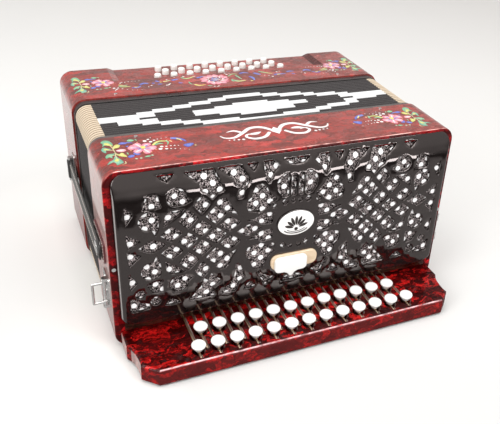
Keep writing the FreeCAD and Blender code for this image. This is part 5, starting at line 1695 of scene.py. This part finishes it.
build_closing_strap(1, "right")
build_closing_strap(-1, "left")
tabs = Parts()
for side in (1, -1):
    tab = strap_tab(side)
    tabs.add((tab.verts, tab.faces), tab.slots)
attach(tabs.build("strap_tabs_leather", [TAB, THREAD], 40), "treble_body", "strap_tabs")

# ---------------------------------------------------------------- hand strap
HAND_HALF_X, BOW_HALF_X, BOW_HEIGHT = 157.5, 149.0, 24.0
HAND_Z0, HAND_Z1 = 62.0, 132.0


def hand_y(x):
    return BACK_Y + 2.3 + BOW_HEIGHT * (1 - min(1.0, abs(x) / BOW_HALF_X) ** 2.6)


def hand_z(t, u):
    """Height at t along and u across the strap, both from -1 to 1."""
    return (HAND_Z0 + HAND_Z1) / 2 + (HAND_Z1 - HAND_Z0) / 2 * u * (1.0 - 0.10 * abs(t) ** 3)


def build_hand_strap():
    """Padded leather over a soft lining, bowed out towards +Y and stitched along both edges."""
    across = [-1 + 2 * k / 20 for k in range(21)]
    steps = 60
    rings = []
    for k in range(steps + 1):
        t = -1 + 2 * k / steps
        x = t * HAND_HALF_X
        y = hand_y(x)
        share = min(1.0, abs(x) / BOW_HALF_X)
        slope = 0.0
        if share < 1.0:
            slope = -BOW_HEIGHT * 2.6 * share ** 1.6 * math.copysign(1, t) / BOW_HALF_X
        normal = unit(np.array((-slope, 1.0)))
        pad = 1.15 * max(0.0, 1 - abs(t / 0.82) ** 6)
        ring = []
        for u in across:
            eased = max(0.0, (abs(u) - 0.80) / 0.20)
            groove = -0.35 * math.exp(-((abs(u) - 0.86) / 0.025) ** 2)
            padding = pad * (1 - abs(u / 0.84) ** 4) if abs(u) < 0.84 else 0.0
            thick = 1.5 + padding + groove - 0.5 * eased ** 4
            ring.append((x + normal[0] * thick, y + normal[1] * thick, hand_z(t, u)))
        ring += [(x, y, hand_z(t, u)) for u in reversed(across)]
        rings.append(ring)
    strap = Parts()
    # leather outside, lining inside, leather end caps
    strap.add(loft(rings, flipped=True), ([0] * 20 + [1] * 22) * steps + [0, 0])
    for u in (-0.9, 0.9):
        for k in range(1, 78):
            stitch = []
            for along, lift in ((0.0, 0.0), (0.006, 0.18), (0.012, 0.0)):
                t = -1 + 2 * k / 78 + along
                x = t * HAND_HALF_X
                stitch.append((x, hand_y(x) + 1.42 + lift, hand_z(t, u)))
            strap.add(sweep(stitch, 0.3, 6), 2)
    ob = strap.build("hand_strap_leather", [STRAP, LINING, THREAD], 50)
    attach(ob, "bass_body", "hand_strap")


build_hand_strap()

# ---------------------------------------------------------------- stage
# The backdrop is turned about Z so that it rises square to the view
STAGE_COS, STAGE_SIN = math.cos(math.radians(27.8)), math.sin(math.radians(27.8))


def paper(name):
    """Grey paper; ahead and aside are metres away from and across the view."""
    dark = (0.03, 0.028, 0.028)
    material, tree = new_material(name)
    place = object_place(tree)
    cloud = noise(place, scale=3, detail=2)
    x, y, _ = split(place)
    ahead = x * STAGE_SIN + y * STAGE_COS
    aside = x * STAGE_COS - y * STAGE_SIN
    # painted light and shade: the paper's tone is graded away from and across the view, and dimmed
    # to the right near the instrument
    color = ramp((ahead + 0.6) * 0.42 + aside * 0.12,
                 [(0.0, (0.480, 0.484, 0.486)), (0.22, (0.540, 0.542, 0.540)),
                  (0.36, (0.632, 0.631, 0.626)), (1.0, (0.590, 0.579, 0.571))])
    right_shade = ramp(aside + 0.2, [(0.0, 0.0), (0.7, 0.06)]) * rise(0.5 - ahead, 0.0, 0.5)
    color = mix(right_shade, color, (0.0, 0.0, 0.0))
    # in mirror reflections the sheet is dimmer, and ends in front of the instrument
    glossy = light_path(tree, "Is Glossy Ray")
    gone = glossy * ramp(ahead + 1.0, [(0.0, 1.0), (0.36, 1.0), (0.56, 0.0)])
    color = mix(cloud * 0.08, color, (0.70, 0.68, 0.66))
    dimmed = glossy * ramp(ahead + 0.4, [(0.0, 0.45), (0.35, 0.45), (0.8, 0.0)])
    color = mix(dimmed, color, dark)
    color = mix(gone, color, dark)
    # the camera sees paler paper right around the instrument, so its shadow stays faint
    seen = light_path(tree, "Is Camera Ray")
    off_x = calculate("MAXIMUM", calculate("ABSOLUTE", x, 0.0) - 0.19, 0.0)
    off_y = calculate("MAXIMUM", calculate("ABSOLUTE", y - 0.075, 0.0) - 0.185, 0.0)
    distance = calculate("SQRT", off_x * off_x + off_y * off_y, 0.0)
    left_gain = 0.16 + 0.84 * rise((-0.13 - x) * 12.0, 0.0, 1.0)
    halo = ramp(distance * 6.5,
                [(0.0, 0.70), (0.14, 0.64), (0.40, 0.34), (0.70, 0.10), (1.0, 0.0)])
    color = mix(seen * left_gain * halo, color, (0.80, 0.785, 0.765))
    fibres = noise(place, scale=260, detail=3, rough=0.6)
    return surface(material, color=color, rough=0.9, spec=0.1,
                   normal=bump(fibres, strength=0.02, distance=0.0003))


def build_backdrop():
    """Floor sheet 0.2 mm below the instrument that curves up behind it."""
    bend_start, bend_radius = 1500.0, 900.0
    angles = [math.pi / 2 * k / 12 for k in range(13)]
    profile = [(-2400.0, 0.0), (-1000.0, 0.0), (400.0, 0.0)]       # ahead, z
    profile += [(bend_start + bend_radius * math.sin(a), bend_radius * (1 - math.cos(a)))
                for a in angles]
    profile.append((bend_start + bend_radius, 3200.0))
    verts = [(STAGE_SIN * ahead + STAGE_COS * aside, STAGE_COS * ahead - STAGE_SIN * aside,
              z - 0.2) for ahead, z in profile for aside in (-4000.0, 4000.0)]
    faces = [(i, i + 1, i + 3, i + 2) for i in range(0, 2 * len(profile) - 2, 2)]
    make("backdrop", verts, faces, [paper("paper")])


def build_world():
    """Sky bright above and dark below; the camera sees an even grey."""
    world = bpy.data.worlds.new("studio")
    scene.world = world
    world.use_nodes = True
    tree = world.node_tree
    z = split(node("ShaderNodeTexCoord", {}, "Generated", tree))[2]
    sky = ramp(0.5 + z * 0.5, [(0.0, 0.05), (0.485, 0.06), (0.53, 0.16), (0.60, 0.42),
                               (0.70, 0.86), (0.82, 0.95), (1.0, 1.0)])
    tinted = mix(1.0, sky, (1.0, 0.985, 0.965), "MULTIPLY")
    background = tree.nodes["Background"]
    plug(background.inputs[0],
         mix(light_path(tree, "Is Camera Ray"), tinted, (0.68, 0.67, 0.655)))
    background.inputs[1].default_value = 1.22


def area_light(name, location, aim, size, power, color=(1, 1, 1)):
    light = bpy.data.lights.new(name, "AREA")
    light.shape = "RECTANGLE"
    light.size, light.size_y = size
    light.energy = power
    light.color = color
    ob = bpy.data.objects.new(name, light)
    scene.collection.objects.link(ob)
    ob.location = location
    ob.rotation_mode = "QUATERNION"
    ob.rotation_quaternion = (Vector(aim) - Vector(location)).to_track_quat("-Z", "Y")


def build_camera():
    camera = bpy.data.cameras.new("camera")
    camera.sensor_width = 36.0
    camera.lens = 50.140944
    camera.shift_x, camera.shift_y = -0.144072, -0.015618
    camera.clip_start, camera.clip_end = 0.05, 30
    ob = bpy.data.objects.new("camera", camera)
    scene.collection.objects.link(ob)
    right = (0.9015354805851743, -0.4261246286073953, 0.07517697879183656, 0)
    up = (0.15470534082208215, 0.4796779906305637, 0.863698606474358, 0)
    backward = (-0.4041039900411555, -0.7670246581426403, 0.4983704837106463, 0)
    location = (-0.258859416, -0.58877384928, 0.48647491172, 1)
    ob.matrix_world = Matrix((right, up, backward, location)).transposed()
    scene.camera = ob


build_backdrop()
build_world()
area_light("top", location=(-0.1, -0.1, 1.9), aim=(0, 0.1, 0), size=(1.8, 1.4), power=20,
           color=(1.0, 0.99, 0.97))
area_light("front_left", location=(-1.7, -0.7, 1.05), aim=(0, 0, 0.1), size=(1.1, 1.0), power=23)
area_light("strip", location=(0.74, -0.93, 1.60), aim=(0, 0, 0.19), size=(1.1, 0.34), power=9)
area_light("low_card", location=(0.62, -1.50, 0.28), aim=(0.0, -0.04, 0.175),
           size=(0.78, 0.22), power=6.0)
build_camera()
scene.view_settings.view_transform = "Standard"
scene.view_settings.look = "None"
scene.view_settings.exposure = 0.0

# ---------------------------------------------------------------- end
bpy.context.view_layer.update()
